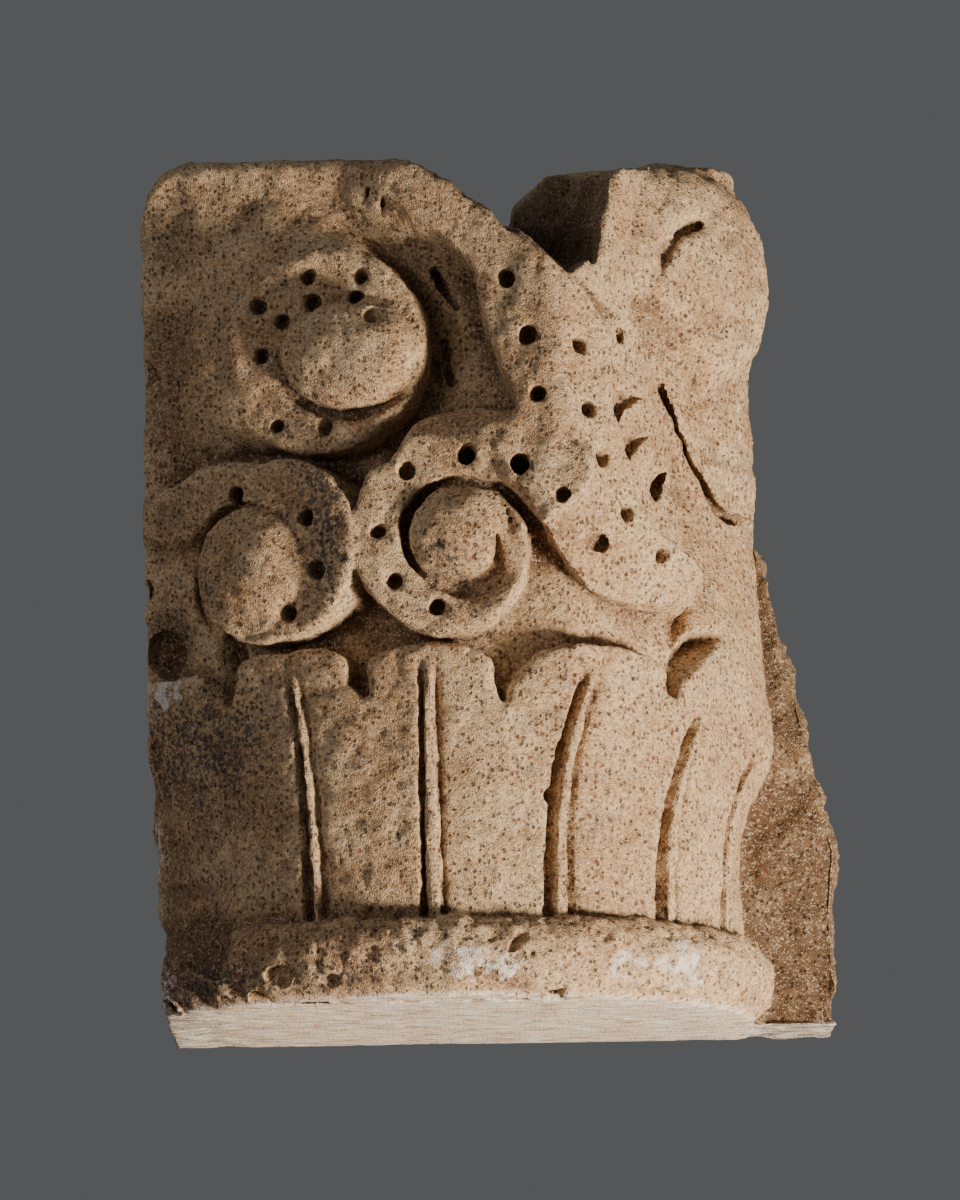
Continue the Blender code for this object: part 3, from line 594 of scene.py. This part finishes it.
def stalkDepth(across, height):
    # where the stalk's surface stands at this place, going in from the front
    depth = -1e9
    for distance in stalkFaces():
        slope = distance(across, 1.0, height) - distance(across, 0.0, height)
        depth = max(depth, -distance(across, 0.0, height) / slope)
    return depth


def carveDrilling(grid):
    radius, depth = stone["drillRadius"], stone["drillDepth"]
    for centre, turn, holes in (
        (upperCentre, frontTurn, upperHoles),
        (lowerCentre, leftTurn, lowerHoles),
        (helixCentre, helixTurn, helixHoles),
    ):
        cos, sin = math.cos(math.radians(turn)), math.sin(math.radians(turn))
        for across, up, *shallow in holes:
            spot = (centre[0] + across * cos, centre[1] + across * sin, centre[2] + up)
            drillHole(grid, spot, turn, radius, shallow[0] if shallow else depth)
    for turn, holes in ((frontTurn, stalkLeftHoles), (stalkRightTurn, stalkRightHoles)):
        for across, up in holes:
            drillHole(grid, (across, stalkDepth(across, up), up), turn, radius, depth)


def flankPoint(across, up, out=0.0):
    # a place on the right face, given where it shows from the front
    sin, cos = math.sin(math.radians(rightTurn)), math.cos(math.radians(rightTurn))
    return across, -(rightGround + out - across * sin) / cos, up


def lineDistance(x, z, line, widths):
    # distance to a drawn line of changing width, as it shows from the front
    nearest = np.float32(1e9)
    for (x0, z0), (x1, z1), wide in zip(line, line[1:], widths):
        share = ((x - x0) * (x1 - x0) + (z - z0) * (z1 - z0)) / ((x1 - x0) ** 2 + (z1 - z0) ** 2)
        share = np.clip(share, 0, 1)
        away = np.hypot(x - x0 - share * (x1 - x0), z - z0 - share * (z1 - z0))
        nearest = np.minimum(nearest, away - wide / 2)
    return nearest


def carveFlank(grid):
    drillHole(grid, flankPoint(70.0, 249.6), 40, 2.8, 8)
    out = beyondPlane(flankPoint(90.0, 200.0), faceNormal(rightTurn))

    def sunk(line, depth, lean=0.0, widths=None):
        # a cut with steep sides; its floor may lean, so that it is deepest at its left
        def shape(x, y, z):
            drawn = lineDistance(x, z, line, widths) if widths else outlineDistance(x, z, line)
            floor = -out(x, y, z) - depth + lean * (x - line[0][0])
            return meet(drawn + 0 * y, floor, 2.0)
        return shape

    # chiselled triangular cuts beside the stalk
    for line in (
        [(66.4, 229), (72, 229.4), (79, 229), (74, 225.4), (70.4, 222), (68.4, 216.5), (66.4, 220)],
        [(69.8, 212.4), (74.5, 213.8), (80.4, 214.6), (77, 211), (73.9, 206), (72.2, 202.4), (69.8, 206)],
        [(80.8, 198.4), (83.8, 202.2), (86.8, 202.6), (85.4, 198.4), (84.2, 193.4), (82.6, 190),
         (79.6, 194.6)],
    ):
        carve(grid, ((60, -130, 185), (96, -20, 236)), sunk(line, 5.6, 0.30), 0.8)
    # the crack across the face
    line = [(86, 235), (87.2, 231.7), (89, 227), (91.4, 219.3), (93.8, 216.5), (94.4, 212.4), (97.3, 206.8),
            (100, 203.4), (102, 199.9), (104, 196.6), (106.8, 192.4), (110.5, 190), (115, 191.4),
            (124, 190.6)]
    widths = (1.5, 1.9, 2.1, 2.0, 2.3, 2.2, 2.4, 2.2, 2.4, 2.6, 3.4, 3.8, 3.0)
    carve(grid, ((78, -120, 180), (130, 10, 242)), sunk(line, 6.0, widths=widths), 0.5)
    # the scooped hollow beside the fourth leaf
    line = [(85.0, 113.5), (86.2, 121), (84.8, 128), (87.4, 134.5), (92.3, 139.4), (99.6, 141.2),
            (109.5, 144.5), (107.8, 137.2), (100.8, 129.6), (92.6, 120.6)]
    slope = beyondPlane((86, -83.5, 113.5), (-0.047, -0.60, 0.80))

    def hollow(x, y, z):
        reach = np.hypot(x, np.minimum(y, 0))
        return meet(meet(outlineDistance(x, z, line) + 0 * y, -slope(x, y, z), 1.5), 105 - reach, 2.0)

    carve(grid, ((78, -130, 104), (120, 0, 154)), hollow, 2.0)


def carveScratches(grid):
    # slips of the chisel on the upper volute's ground and on the band above it
    ground = beyondPlane((0, -101, 240), faceNormal(frontTurn))
    for line, width, deep in (
        ([(-22.9, 302), (-25.8, 291.6), (-24.6, 282.4)], 1.4, 0.4),
        ([(-17.2, 297.5), (-18.6, 289.8)], 1.2, 0.4),
        ([(-38.8, 293), (-38.0, 292)], 2.2, 0.8),
        ([(1.0, 272), (4.4, 265.5)], 3.2, 7.0),
        ([(4.4, 265.5), (9.4, 258)], 1.8, 5.0),
        ([(4.4, 246), (5.0, 238), (6.4, 230)], 2.2, 6.0),
        ([(1.4, 238), (2.4, 229)], 1.4, 5.0),
    ):
        reach = 12.0 if line[0][1] > 275 else 0.0

        def shape(x, y, z):
            return meet(lineDistance(x, z, line, [width] * 3) + 0 * y, reach - deep - ground(x, y, z), 1.0)

        carve(grid, ((-46, -130, 222), (16, -60, 306)), shape, 0.7)


def breakRing(grid):
    # the neck ring's left end has lost its upper part
    lost = [(-125, 52), (-84, 46), (-80, 26), (-82.5, 12), (-91, 15), (-100, 17.5), (-125, 19)]

    def shape(x, y, z):
        reach = np.hypot(x, np.minimum(y, 0))
        return meet(outlineDistance(x, z, lost) + 0 * y, 112.5 - 0.16 * (z - 30) - reach, 1.5)

    carve(grid, ((-130, -125, 4), (-70, 20, 52)), shape, 5.0)


def trimBlock(grid):
    lean = math.radians(stone["leftLean"])
    left = beyondPlane((-stone["leftCut"], 0, 0), (-math.cos(lean), 0, -math.sin(lean)))
    corner = beyondPlane((-103, 0, 313), (-0.74, 0, 0.67))
    joint = -stone["leftJoint"]
    wornTop = beyondPlane((100, -20, 330.3), (0.0112, -0.2046, 0.9788))
    high = nodeHigh.astype(np.float32)
    slices, x, y, z = window(grid, *whole(grid))
    for outside, blend in (
        (left(x, y, z), 2.4), (joint - x, 2.4), (corner(x, y, z), 5.0), (wornTop(x, y, z), 4.0),
        (z - high[2] + 0.2, 2.0), (y - high[1] + 0.2, 1.5), (-z, 1.2),
    ):
        grid["field"][...] = meet(grid["field"], outside.astype(np.float32), blend)


def chipEdges(grid):
    # bites that weather and handling have taken from the outer edges
    random = np.random.default_rng(7)
    edges = (
        ((-104, -90, 316), (-4, -120, 316), 18, 2.6),       # top edge of the front
        ((-105, -50, 6), (-110, -64, 300), 34, 2.4),        # left edge
        ((-100, -92, 2), (80, -108, 1), 26, 2.2),           # lower edge of the neck ring
        ((84, -70, 320), (118, -16, 330), 8, 1.8),          # top of the worn right face
        ((14, -100, 294), (66, -110, 243), 14, 2.6),        # edge of the break
    )
    for start, end, count, size in edges:
        for share in random.random(count):
            radius = size * (0.4 + 0.9 * random.random())
            spot = [a + (b - a) * share + random.normal() * 1.5 for a, b in zip(start, end)]
            radii = radius * (0.8 + 1.4 * random.random(3))
            shape = scoop(spot, tuple(radii), random.uniform(-60, 60), random.uniform(-60, 60))
            carve(grid, around(spot, max(radii) + 8), shape, 2.0)


def netOf(grid):
    field, axes = grid["field"], grid["axes"]
    inside = field < 0
    cells = [size - 1 for size in field.shape]
    count = np.zeros(cells, np.uint8)
    for corner in np.ndindex(2, 2, 2):
        count += inside[tuple(slice(c, c + n) for c, n in zip(corner, cells))]
    at = np.nonzero((count > 0) & (count < 8))
    number = np.full(cells, -1, np.int32)
    number[at] = np.arange(len(at[0]))
    total, hits = np.zeros((len(at[0]), 3)), np.zeros(len(at[0]))
    for axis in range(3):
        for offset in np.ndindex(2, 2):
            near = [index.copy() for index in at]
            for other, step in zip([a for a in range(3) if a != axis], offset):
                near[other] += step
            far = [index + (a == axis) for a, index in enumerate(near)]
            first, second = field[tuple(near)], field[tuple(far)]
            crosses = (first < 0) != (second < 0)
            share = np.where(crosses, first / np.where(crosses, first - second, 1), 0)
            for a in range(3):
                place = axes[a][near[a]] + share * (axes[a][far[a]] - axes[a][near[a]])
                total[:, a] += np.where(crosses, place, 0)
            hits += crosses
    points = total / hits[:, None]
    quads = []
    for axis in range(3):
        low = [slice(1, -1)] * 3
        high = [slice(1, -1)] * 3
        low[axis], high[axis] = slice(0, -1), slice(1, None)
        first, second = inside[tuple(low)], inside[tuple(high)]
        where = np.nonzero(first != second)
        index = [w + (a != axis) for a, w in enumerate(where)]
        b, c = [a for a in range(3) if a != axis]
        corners = []
        for stepB, stepC in ((-1, -1), (0, -1), (0, 0), (-1, 0)):
            cell = [i.copy() for i in index]
            cell[b] += stepB
            cell[c] += stepC
            corners.append(number[tuple(cell)])
        quad = np.stack(corners, 1)
        turned = first[where] if axis != 1 else ~first[where]
        quad[~turned] = quad[~turned][:, ::-1]
        quads.append(quad)
    return points, np.concatenate(quads)


def meshOf(name, points, faces):
    mesh = bpy.data.meshes.new(name)
    sides = faces.shape[1]
    mesh.vertices.add(len(points))
    mesh.vertices.foreach_set("co", (points * 0.001).astype(np.float32).ravel())
    mesh.loops.add(faces.size)
    mesh.loops.foreach_set("vertex_index", faces.astype(np.int32).ravel())
    mesh.polygons.add(len(faces))
    mesh.polygons.foreach_set("loop_start", np.arange(0, faces.size, sides, dtype=np.int32))
    mesh.update(calc_edges=True)
    return mesh


def pointsOf(mesh):
    flat = np.empty(len(mesh.vertices) * 3, np.float32)
    mesh.vertices.foreach_get("co", flat)
    return flat.reshape(-1, 3) * 1000


def valueNoise(points, size, seed):
    # smooth noise from -1 to 1 with lumps about `size` millimetres across
    lattice = np.random.default_rng(seed).uniform(-1, 1, (32, 32, 32)).astype(np.float32)
    place = points / size + 500
    cell = np.floor(place).astype(int)
    part = place - cell
    part = part * part * (3 - 2 * part)
    total = 0
    for corner in np.ndindex(2, 2, 2):
        weight = np.prod([np.where(c, part[:, a], 1 - part[:, a]) for a, c in enumerate(corner)], axis=0)
        index = tuple((cell[:, a] + c) % 32 for a, c in enumerate(corner))
        total = total + weight * lattice[index]
    return total


def layeredNoise(points, size, seed, layers=3):
    total, strength = 0, 1.0
    for layer in range(layers):
        total = total + strength * valueNoise(points, size / 2**layer, seed + layer)
        strength *= 0.55
    return total


def tailShareOf(x, y):
    return smoothStep(stone["wallFront"] - 4, stone["wallFront"] + 2, y) * smoothStep(112, 120, x)


def brokenShare(points):
    # 1 on the broken faces and the rough tail, 0 on the worn carving
    x, y, z = points.T
    tail = tailShareOf(x, y)
    face = smoothStep(5, 0, np.abs(beyondPlane(*brokenPlane)(x, y, z)))
    face = face * smoothStep(262, 285, z) * smoothStep(22, 34, x)
    breaks = smoothStep(4, 0, np.abs(beyondPlane((27, -110, 286), (0.60, 0, 0.80))(x, y, z)))
    breaks = breaks * smoothStep(-10, 4, x) * smoothStep(75, 60, x) * smoothStep(240, 250, z)
    leftEnd = smoothStep(-80, -88, x) * smoothStep(42, 34, z) * 0.7
    hollow = smoothStep(16, 8, np.hypot(np.hypot(x + 101, y + 62), z - 139))
    return np.clip(tail + face + breaks + leftEnd + hollow, 0, 1)


def weather(mesh):
    points = pointsOf(mesh)
    normals = np.empty(len(points) * 3, np.float32)
    mesh.vertex_normals.foreach_get("vector", normals)
    normals = normals.reshape(-1, 3)
    broken = brokenShare(points)
    worn = layeredNoise(points, 7.0, 11, 3)
    pitted = np.maximum(layeredNoise(points, 3.0, 21, 2) - 0.3, 0)
    torn = layeredNoise(points, 15.0, 31, 4)
    x, y, z = points.T
    tailShare = tailShareOf(x, y)
    ringShare = smoothStep(36, 30, z) * smoothStep(0.5, 3, z)
    depth = stone["grainDepth"] * (1 + 0.9 * ringShare) * (1.2 + 1.3 * worn + 1.8 * pitted)
    # the first leaf and the stone beside the left joint are torn too, but kept their colour
    rough = np.maximum(smoothStep(-68, -80, x) * smoothStep(130, 120, z) * 0.5, smoothStep(-84, -98, x) * 0.7)
    rough = np.clip(broken + rough, 0, 1) * stone["chipDepth"] * (1 + 0.9 * tailShare)
    depth = depth + rough * np.maximum(torn + 0.9, 0)
    # slow waves all over, and the bruised right face
    depth = depth + 0.7 * np.maximum(layeredNoise(points, 24.0, 41, 2) + 0.4, 0)
    bruised = smoothStep(64, 78, x) * smoothStep(176, 200, z) * (1 - tailShare)
    depth = depth + 1.3 * bruised * np.maximum(layeredNoise(points, 11.0, 51, 3) + 0.2, 0)
    # the bed, the wall face and the top bed stay flat
    flat = (0.3 + 0.7 * smoothStep(0.3, 1.2, z)) * smoothStep(0.3, 1.2, nodeHigh[1] - y)
    flat = flat * smoothStep(0.3, 1.2, nodeHigh[2] - z)
    moved = points - normals * ((np.clip(depth, 0, 5) - 0.9) * flat)[:, None]
    moved = np.clip(moved, nodeLow, nodeHigh)
    mesh.vertices.foreach_set("co", (moved * 0.001).astype(np.float32).ravel())
    mesh.update()


# Each place: centre in mm, how far it reaches in x, y and z, and its strength.
patinaPlaces = (
    ((-40, -108, 168), (11, 30, 26), 1.1),      # right side of the lower volute
    ((-84, -90, 158), (9, 30, 14), 0.8),        # foot of its eye
    ((-70, -98, 172), (9, 30, 6), 0.45),
    ((8, -125, 160), (16, 30, 12), 0.9),        # foot of the helix's eye
    ((10, -120, 142), (26, 30, 12), 0.6),
    ((-95, -60, 100), (22, 60, 24), 1.1),       # upper left of the first leaf
    ((-70, -90, 95), (20, 60, 30), 0.7),
    ((-30, -118, 8), (80, 40, 9), 0.8),         # lower edge of the neck ring
    ((-88, -80, 10), (20, 40, 14), 1.0),
    ((-45, -108, 222), (26, 30, 16), 0.7),      # foot of the upper volute
    ((50, -130, 200), (12, 30, 14), 0.7),       # where the helix leaves the stalk
    ((-40, -112, 190), (16, 30, 14), 0.6),
    ((20, -122, 40), (60, 40, 26), 0.35),
)
limePlaces = (
    ((8, -125, 13), (16, 30, 11), 1.0),
    ((26, -125, 10), (8, 30, 8), 0.8),
    ((-16, -125, 20), (8, 30, 8), 0.5),
    ((88, -90, 14), (16, 40, 12), 1.0),
    ((64, -105, 12), (10, 40, 10), 0.7),
    ((-108, -60, 60), (8, 60, 40), 0.9),
    ((-104, -70, 121), (18, 40, 8), 1.1),
    ((-106, -60, 10), (16, 50, 14), 0.9),
    ((-31, -118, 104), (7, 30, 7), 0.8),
    ((-2, -120, 62), (6, 30, 5), 0.9),
    ((60, -105, 56), (16, 40, 14), 0.5),
    ((118, -40, 215), (8, 60, 60), 0.6),
)
rustPlaces = (
    ((95, -60, 225), (40, 60, 60), 1.0),
    ((60, -120, 165), (26, 40, 26), 1.0),
    ((90, -80, 120), (40, 60, 40), 0.8),
    ((50, -115, 100), (30, 40, 40), 0.45),
    ((28, -122, 190), (20, 30, 16), 0.5),
    ((-20, -120, 185), (14, 30, 14), 0.45),
)


def placesShare(points, places):
    total = 0
    for centre, reach, strength in places:
        away = ((points - np.array(centre)) / np.array(reach)) ** 2
        total = total + strength * np.exp(-away.sum(axis=1))
    return np.clip(total, 0, 1.3)


def crowding(grid, reach):
    # share of stone in a box round each point: a half on open faces, more in hollows, less on edges
    share = (grid["field"] < 0).astype(np.float32)
    for axis, places in enumerate(grid["axes"]):
        steps = max(int(round(reach / (places[1] - places[0]))), 1)
        total = np.cumsum(share, axis=axis, dtype=np.float32)
        size = total.shape[axis]
        ahead = np.minimum(np.arange(size) + steps, size - 1)
        behind = np.maximum(np.arange(size) - steps - 1, 0)
        share = (np.take(total, ahead, axis) - np.take(total, behind, axis)) / (2 * steps + 1)
    return share


def sample(grid, values, points):
    axes = enumerate(grid["axes"])
    index = [np.clip(np.searchsorted(axis, points[:, a]), 0, len(axis) - 1) for a, axis in axes]
    return values[tuple(index)]


def setShare(mesh, name, values):
    layer = mesh.attributes.new(name, "FLOAT", "POINT")
    layer.data.foreach_set("value", np.asarray(values, np.float32))


def markSurface(grid, mesh):
    points = pointsOf(mesh)
    setShare(mesh, "hollow", sample(grid, crowding(grid, 5.0), points))
    setShare(mesh, "recess", sample(grid, crowding(grid, 14.0), points))
    setShare(mesh, "broken", brokenShare(points))
    setShare(mesh, "bed", smoothStep(2.5, 0.6, points[:, 2]))
    setShare(mesh, "patina", placesShare(points, patinaPlaces))
    setShare(mesh, "lime", placesShare(points, limePlaces))
    setShare(mesh, "rust", placesShare(points, rustPlaces))


def makeCapital():
    grid = makeGrid()
    carveBell(grid)
    print("bell and leaves", grid["field"].shape)
    carveNeckRing(grid)
    carveTail(grid)
    carveRightFace(grid)
    carveUpperVolute(grid)
    carveLowerVolute(grid)
    carveHelix(grid)
    carveStalk(grid)
    carveHelixEye(grid)
    print("volutes and stalk")
    carveLosses(grid)
    carveHollows(grid)
    carveDrilling(grid)
    carveFlank(grid)
    carveScratches(grid)
    breakRing(grid)
    chipEdges(grid)
    trimBlock(grid)
    print("losses, drilling and chips")
    points, faces = netOf(grid)
    print("net of", len(faces), "faces")
    mesh = meshOf("carved_capital", points, faces)
    weather(mesh)
    capital = bpy.data.objects.new("carved_capital", mesh)
    bpy.context.scene.collection.objects.link(capital)
    thin = capital.modifiers.new("thin", "DECIMATE")
    thin.ratio = stone["faces"] / (2 * len(faces))
    graph = bpy.context.evaluated_depsgraph_get()
    thinned = bpy.data.meshes.new_from_object(capital.evaluated_get(graph))
    capital.modifiers.clear()
    capital.data = thinned
    thinned.shade_smooth()
    thinned.set_sharp_from_angle(angle=math.radians(42))
    markSurface(grid, thinned)
    print("stone mesh of", len(thinned.loops) - 2 * len(thinned.polygons), "triangles")
    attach(capital, "root")
    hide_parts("capital")
    return capital


def linear(code):
    parts = [int(code[i:i + 2], 16) / 255 for i in (1, 3, 5)]
    return [v / 12.92 if v <= 0.04045 else ((v + 0.055) / 1.055) ** 2.4 for v in parts] + [1.0]


def addNode(tree, kind, inputs=None, **settings):
    # an input takes a value, or is linked where it is given another node's output
    made = tree.nodes.new(kind)
    for name, value in settings.items():
        setattr(made, name, value)
    for key, value in (inputs or {}).items():
        if isinstance(value, bpy.types.NodeSocket):
            tree.links.new(value, made.inputs[key])
        else:
            made.inputs[key].default_value = value
    return made


def makeLimestone():
    # A sandy limestone, chiselled and then weathered until its grains stand out: quite matt, darkened by
    # soot, darkened in its hollows and recesses partly by soil where water sits and partly by painted shade,
    # rusty where iron has bled, and white where lime mortar still clings.
    look = {
        "pale": "#E2C59B", "bright": "#F6E3C4", "body": "#C8A279", "dark": "#96714B", "grey": "#ABA091",
        # this dark brown is the soil and painted shade laid into hollows and recesses, and also the darkest
        # sand grains
        "soilAndShade": "#5F432B", "speck": "#47301F", "patina": "#383A41", "rust": "#70391A", "lime": "#F3EFE8",
        "tail": "#523C28",
        # sizes of the patterns in millimetres; the sand is drawn somewhat coarse, so that it shows
        "grainSize": 0.65, "pitSize": 1.8, "rustSize": 2.4, "mottleSize": 1.6, "patchSize": 9.0,
        "blotchSize": 38.0, "patinaSize": 2.0, "limeSize": 5.0, "streakSize": 3.0,
        "shakeSize": 1.2, "shake": 1.0,
        "grainHeight": 0.24, "pitHeight": 0.6,
        "roughness": 0.92, "ior": 1.5,
    }
    material = bpy.data.materials.new("limestone")
    material.use_nodes = True
    tree = material.node_tree
    surface = tree.nodes["Principled BSDF"]
    surface.inputs["Roughness"].default_value = look["roughness"]
    surface.inputs["IOR"].default_value = look["ior"]
    place = addNode(tree, "ShaderNodeTexCoord").outputs["Object"]
    found = {}

    # the shares that the mesh carries: how hollow, broken, stained and so on each point is
    for name in ("hollow", "recess", "broken", "bed", "patina", "lime", "rust"):
        found[name] = addNode(tree, "ShaderNodeAttribute", attribute_name=name).outputs["Fac"]

    drawn = addNode(tree, "ShaderNodeMapping", {"Vector": place, "Scale": (0.2, 1.0, 1.0)}).outputs[0]
    for name, vector, detail, rough in (
        ("mottle", place, 3, 0.6),
        ("patch", place, 4, 0.6),
        ("blotch", place, 4, 0.6),
        ("patina", place, 4, 0.7),
        ("lime", place, 5, 0.7),
        ("streak", drawn, 5, 0.7),
    ):
        sockets = {"Vector": vector, "Scale": 1000 / look[name + "Size"], "Detail": detail,
                   "Roughness": rough}
        found[name + "Noise"] = addNode(tree, "ShaderNodeTexNoise", sockets).outputs["Fac"]

    # Round grains packed side by side: a chance shade for each, and the way out from its middle. A fine noise
    # shakes the packing, so that no grain or pit is a neat circle.
    sockets = {"Vector": place, "Scale": 1000 / look["shakeSize"], "Detail": 2}
    shake = addNode(tree, "ShaderNodeTexNoise", sockets)
    shake = addNode(tree, "ShaderNodeVectorMath", {0: shake.outputs["Color"], "Scale": look["shake"] / 1000},
                    operation="SCALE")
    shaken = addNode(tree, "ShaderNodeVectorMath", {0: place, 1: shake.outputs[0]}, operation="ADD")
    for name in ("grain", "pit", "rust"):
        sockets = {"Vector": shaken.outputs[0], "Scale": 1000 / look[name + "Size"]}
        made = addNode(tree, "ShaderNodeTexVoronoi", sockets)
        split = addNode(tree, "ShaderNodeSeparateColor", {"Color": made.outputs["Color"]})
        found[name + "Shade"], found[name + "Out"] = split.outputs["Red"], made.outputs["Distance"]

    # Sums and products, first those that need no ramp, then the ramps, then what is made of them. A row gives
    # its name and where it comes from; a name stands for what was found before, a number for itself.
    sums = (
        ("patinaReach", "MULTIPLY_ADD", "patina", 0.14, "patinaNoise"),
        ("limeReach", "MULTIPLY_ADD", "lime", 0.28, "limeNoise"),
        ("rustReach", "MULTIPLY_ADD", "rust", -0.46, "rustShade"),
        ("speckShare", "MULTIPLY_ADD", "hollow", 0.5, 0.4),
        ("tornFaces", "MULTIPLY", "broken", 0.72),
    )
    # each ramp runs smoothly between two values of its source, from nothing to its strength
    ramps = (
        ("pitRound", "pitOut", 0.46, 0.26, 1.0),
        ("pits", "pitShade", 0.36, 0.26, "pitRound"),
        ("paleBlotches", "blotchNoise", 0.40, 0.60, 1.0),
        ("darkPatches", "patchNoise", 0.50, 0.30, 0.45),
        ("greyPatches", "patchNoise", 0.54, 0.68, 0.45),
        ("paleEdges", "hollow", 0.46, 0.30, 0.6),
        ("paleMottle", "mottleNoise", 0.50, 0.66, 0.6),
        ("darkMottle", "mottleNoise", 0.52, 0.34, 0.7),
        # painted shade: hollows and recesses are darkened with the dark brown, partly as real soil and partly
        # as shade painted into the colour
        ("soilAndShadeInHollows", "hollow", 0.53, 0.78, 0.5),
        ("soilAndShadeInRecesses", "recess", 0.54, 0.82, 0.45),
        ("brightSand", "grainShade", 0.66, 1.0, 0.42),
        ("darkSand", "grainShade", 0.42, 0.08, 0.42),
        ("sootStains", "patinaReach", 0.62, 0.70, 0.75),
        ("rustRound", "rustOut", 0.5, 0.25, 0.8),
        ("rustPatches", "patchNoise", 0.42, 0.56, "rustRound"),
        ("rustSpots", "rustReach", 0.06, 0.0, "rustPatches"),
        ("limeCrust", "limeReach", 0.70, 0.84, 0.85),
        # painted light: the whole bottom bed is whitened with streaks, partly as lime and partly as the light
        # from below painted into its colour
        ("sawStreaks", "streakNoise", 0.42, 0.56, 0.8),
        ("grainRelief", "grainOut", 0.8, 0.1, 1.0),
    )
    lastSums = (
        # soil and painted shade of the hollows and of the recesses, added together
        ("soilAndPaintedShade", "ADD", "soilAndShadeInHollows", "soilAndShadeInRecesses"),
        ("specks", "MULTIPLY", "pits", "speckShare"),
        # streaks plus an even base of white over the whole bed, which is partly painted light
        ("bedStreaksAndBaseWhite", "ADD", "sawStreaks", 0.15),
        ("bedLimeAndPaintedLight", "MULTIPLY", "bed", "bedStreaksAndBaseWhite"),
    )
    for name, operation, *terms in sums:
        sockets = {index: found.get(term, term) for index, term in enumerate(terms)}
        found[name] = addNode(tree, "ShaderNodeMath", sockets, operation=operation).outputs[0]
    for name, source, low, high, strength in ramps:
        sockets = {"Value": found[source], "From Min": low, "From Max": high,
                   "To Max": found.get(strength, strength)}
        made = addNode(tree, "ShaderNodeMapRange", sockets, interpolation_type="SMOOTHSTEP")
        found[name] = made.outputs[0]
    for name, operation, *terms in lastSums:
        sockets = {index: found.get(term, term) for index, term in enumerate(terms)}
        found[name] = addNode(tree, "ShaderNodeMath", sockets, operation=operation).outputs[0]

    # the colours are laid over each other in this order
    colour = linear(look["body"])
    for code, amount in (
        ("pale", "paleBlotches"), ("dark", "darkPatches"), ("grey", "greyPatches"), ("pale", "paleEdges"),
        # the dark brown laid over hollows and recesses here is partly soil and partly painted shade
        ("pale", "paleMottle"), ("dark", "darkMottle"), ("tail", "tornFaces"), ("soilAndShade", "soilAndPaintedShade"),
        ("bright", "brightSand"), ("soilAndShade", "darkSand"), ("speck", "specks"), ("patina", "sootStains"),
        # the white over the bottom bed is partly lime and partly painted light
        ("rust", "rustSpots"), ("lime", "limeCrust"), ("lime", "bedLimeAndPaintedLight"),
    ):
        colour = addNode(tree, "ShaderNodeMix", {0: found[amount], 6: colour, 7: linear(look[code])},
                         data_type="RGBA").outputs[2]
    tree.links.new(colour, surface.inputs["Base Color"])

    sockets = {"Height": found["grainRelief"], "Distance": look["grainHeight"] / 1000, "Strength": 1.0}
    relief = addNode(tree, "ShaderNodeBump", sockets)
    sockets = {"Height": found["pits"], "Distance": look["pitHeight"] / 1000, "Strength": 1.0,
               "Normal": relief.outputs[0]}
    relief = addNode(tree, "ShaderNodeBump", sockets, invert=True)
    tree.links.new(relief.outputs[0], surface.inputs["Normal"])
    return material


def makeFloor():
    mesh = bpy.data.meshes.new("floor")
    half, level = 4, -0.0005
    corners = [(-half, -half, level), (half, -half, level), (half, half, level), (-half, half, level)]
    mesh.from_pydata(corners, [], [(0, 1, 2, 3)])
    floor = bpy.data.objects.new("floor", mesh)
    bpy.context.scene.collection.objects.link(floor)
    material = bpy.data.materials.new("pale_floor")
    material.use_nodes = True
    tree = material.node_tree
    surface = tree.nodes["Principled BSDF"]
    surface.inputs["Base Color"].default_value = linear("#C9C7C3")
    surface.inputs["Roughness"].default_value = 0.9
    # seen from below, where the view stands, the floor lets everything through
    clear = addNode(tree, "ShaderNodeBsdfTransparent")
    side = addNode(tree, "ShaderNodeNewGeometry")
    mix = addNode(tree, "ShaderNodeMixShader",
                  {0: side.outputs["Backfacing"], 1: surface.outputs[0], 2: clear.outputs[0]})
    tree.links.new(mix.outputs[0], tree.nodes["Material Output"].inputs["Surface"])
    mesh.materials.append(material)
    floor.visible_shadow = False


def makeLight(name, spot, size, power, colour):
    data = bpy.data.lights.new(name, "AREA")
    data.size, data.energy, data.color = size, power, linear(colour)[:3]
    light = bpy.data.objects.new(name, data)
    light.location = spot
    aim = Vector((0.0, -0.05, 0.16)) - Vector(spot)
    light.rotation_euler = aim.to_track_quat("-Z", "Y").to_euler()
    bpy.context.scene.collection.objects.link(light)


def makeStudio():
    makeLight("key", (1.09, -0.72, -0.56), 0.24, 42, "#FFEFDD")
    makeLight("fill", (-1.5, -1.5, 0.3), 0.8, 6.8, "#FAF0EC")
    world = bpy.data.worlds.new("studio")
    bpy.context.scene.world = world
    world.use_nodes = True
    world.node_tree.nodes["Background"].inputs["Color"].default_value = linear("#D8DADC")
    world.node_tree.nodes["Background"].inputs["Strength"].default_value = 0.14


def makeCamera():
    distance, across = 2.4, 0.016             # in front of the axis and to its right
    below = math.tan(math.radians(5.6)) * distance
    aimHeight, aimDepth = 0.155, 0.06
    pitch = math.atan2(aimHeight + below, distance - aimDepth)
    data = bpy.data.cameras.new("camera")
    data.lens, data.sensor_width = 189.9, 36
    camera = bpy.data.objects.new("camera", data)
    turn = Matrix.Rotation(math.pi / 2 + pitch, 4, "X") @ Matrix.Rotation(math.radians(-0.9), 4, "Z")
    camera.matrix_world = Matrix.Translation((across, -distance, -below)) @ turn
    bpy.context.scene.collection.objects.link(camera)
    bpy.context.scene.camera = camera


capital = makeCapital()
capital.data.materials.clear()
capital.data.materials.append(makeLimestone())
print("stone done")
makeFloor()
makeStudio()
makeCamera()
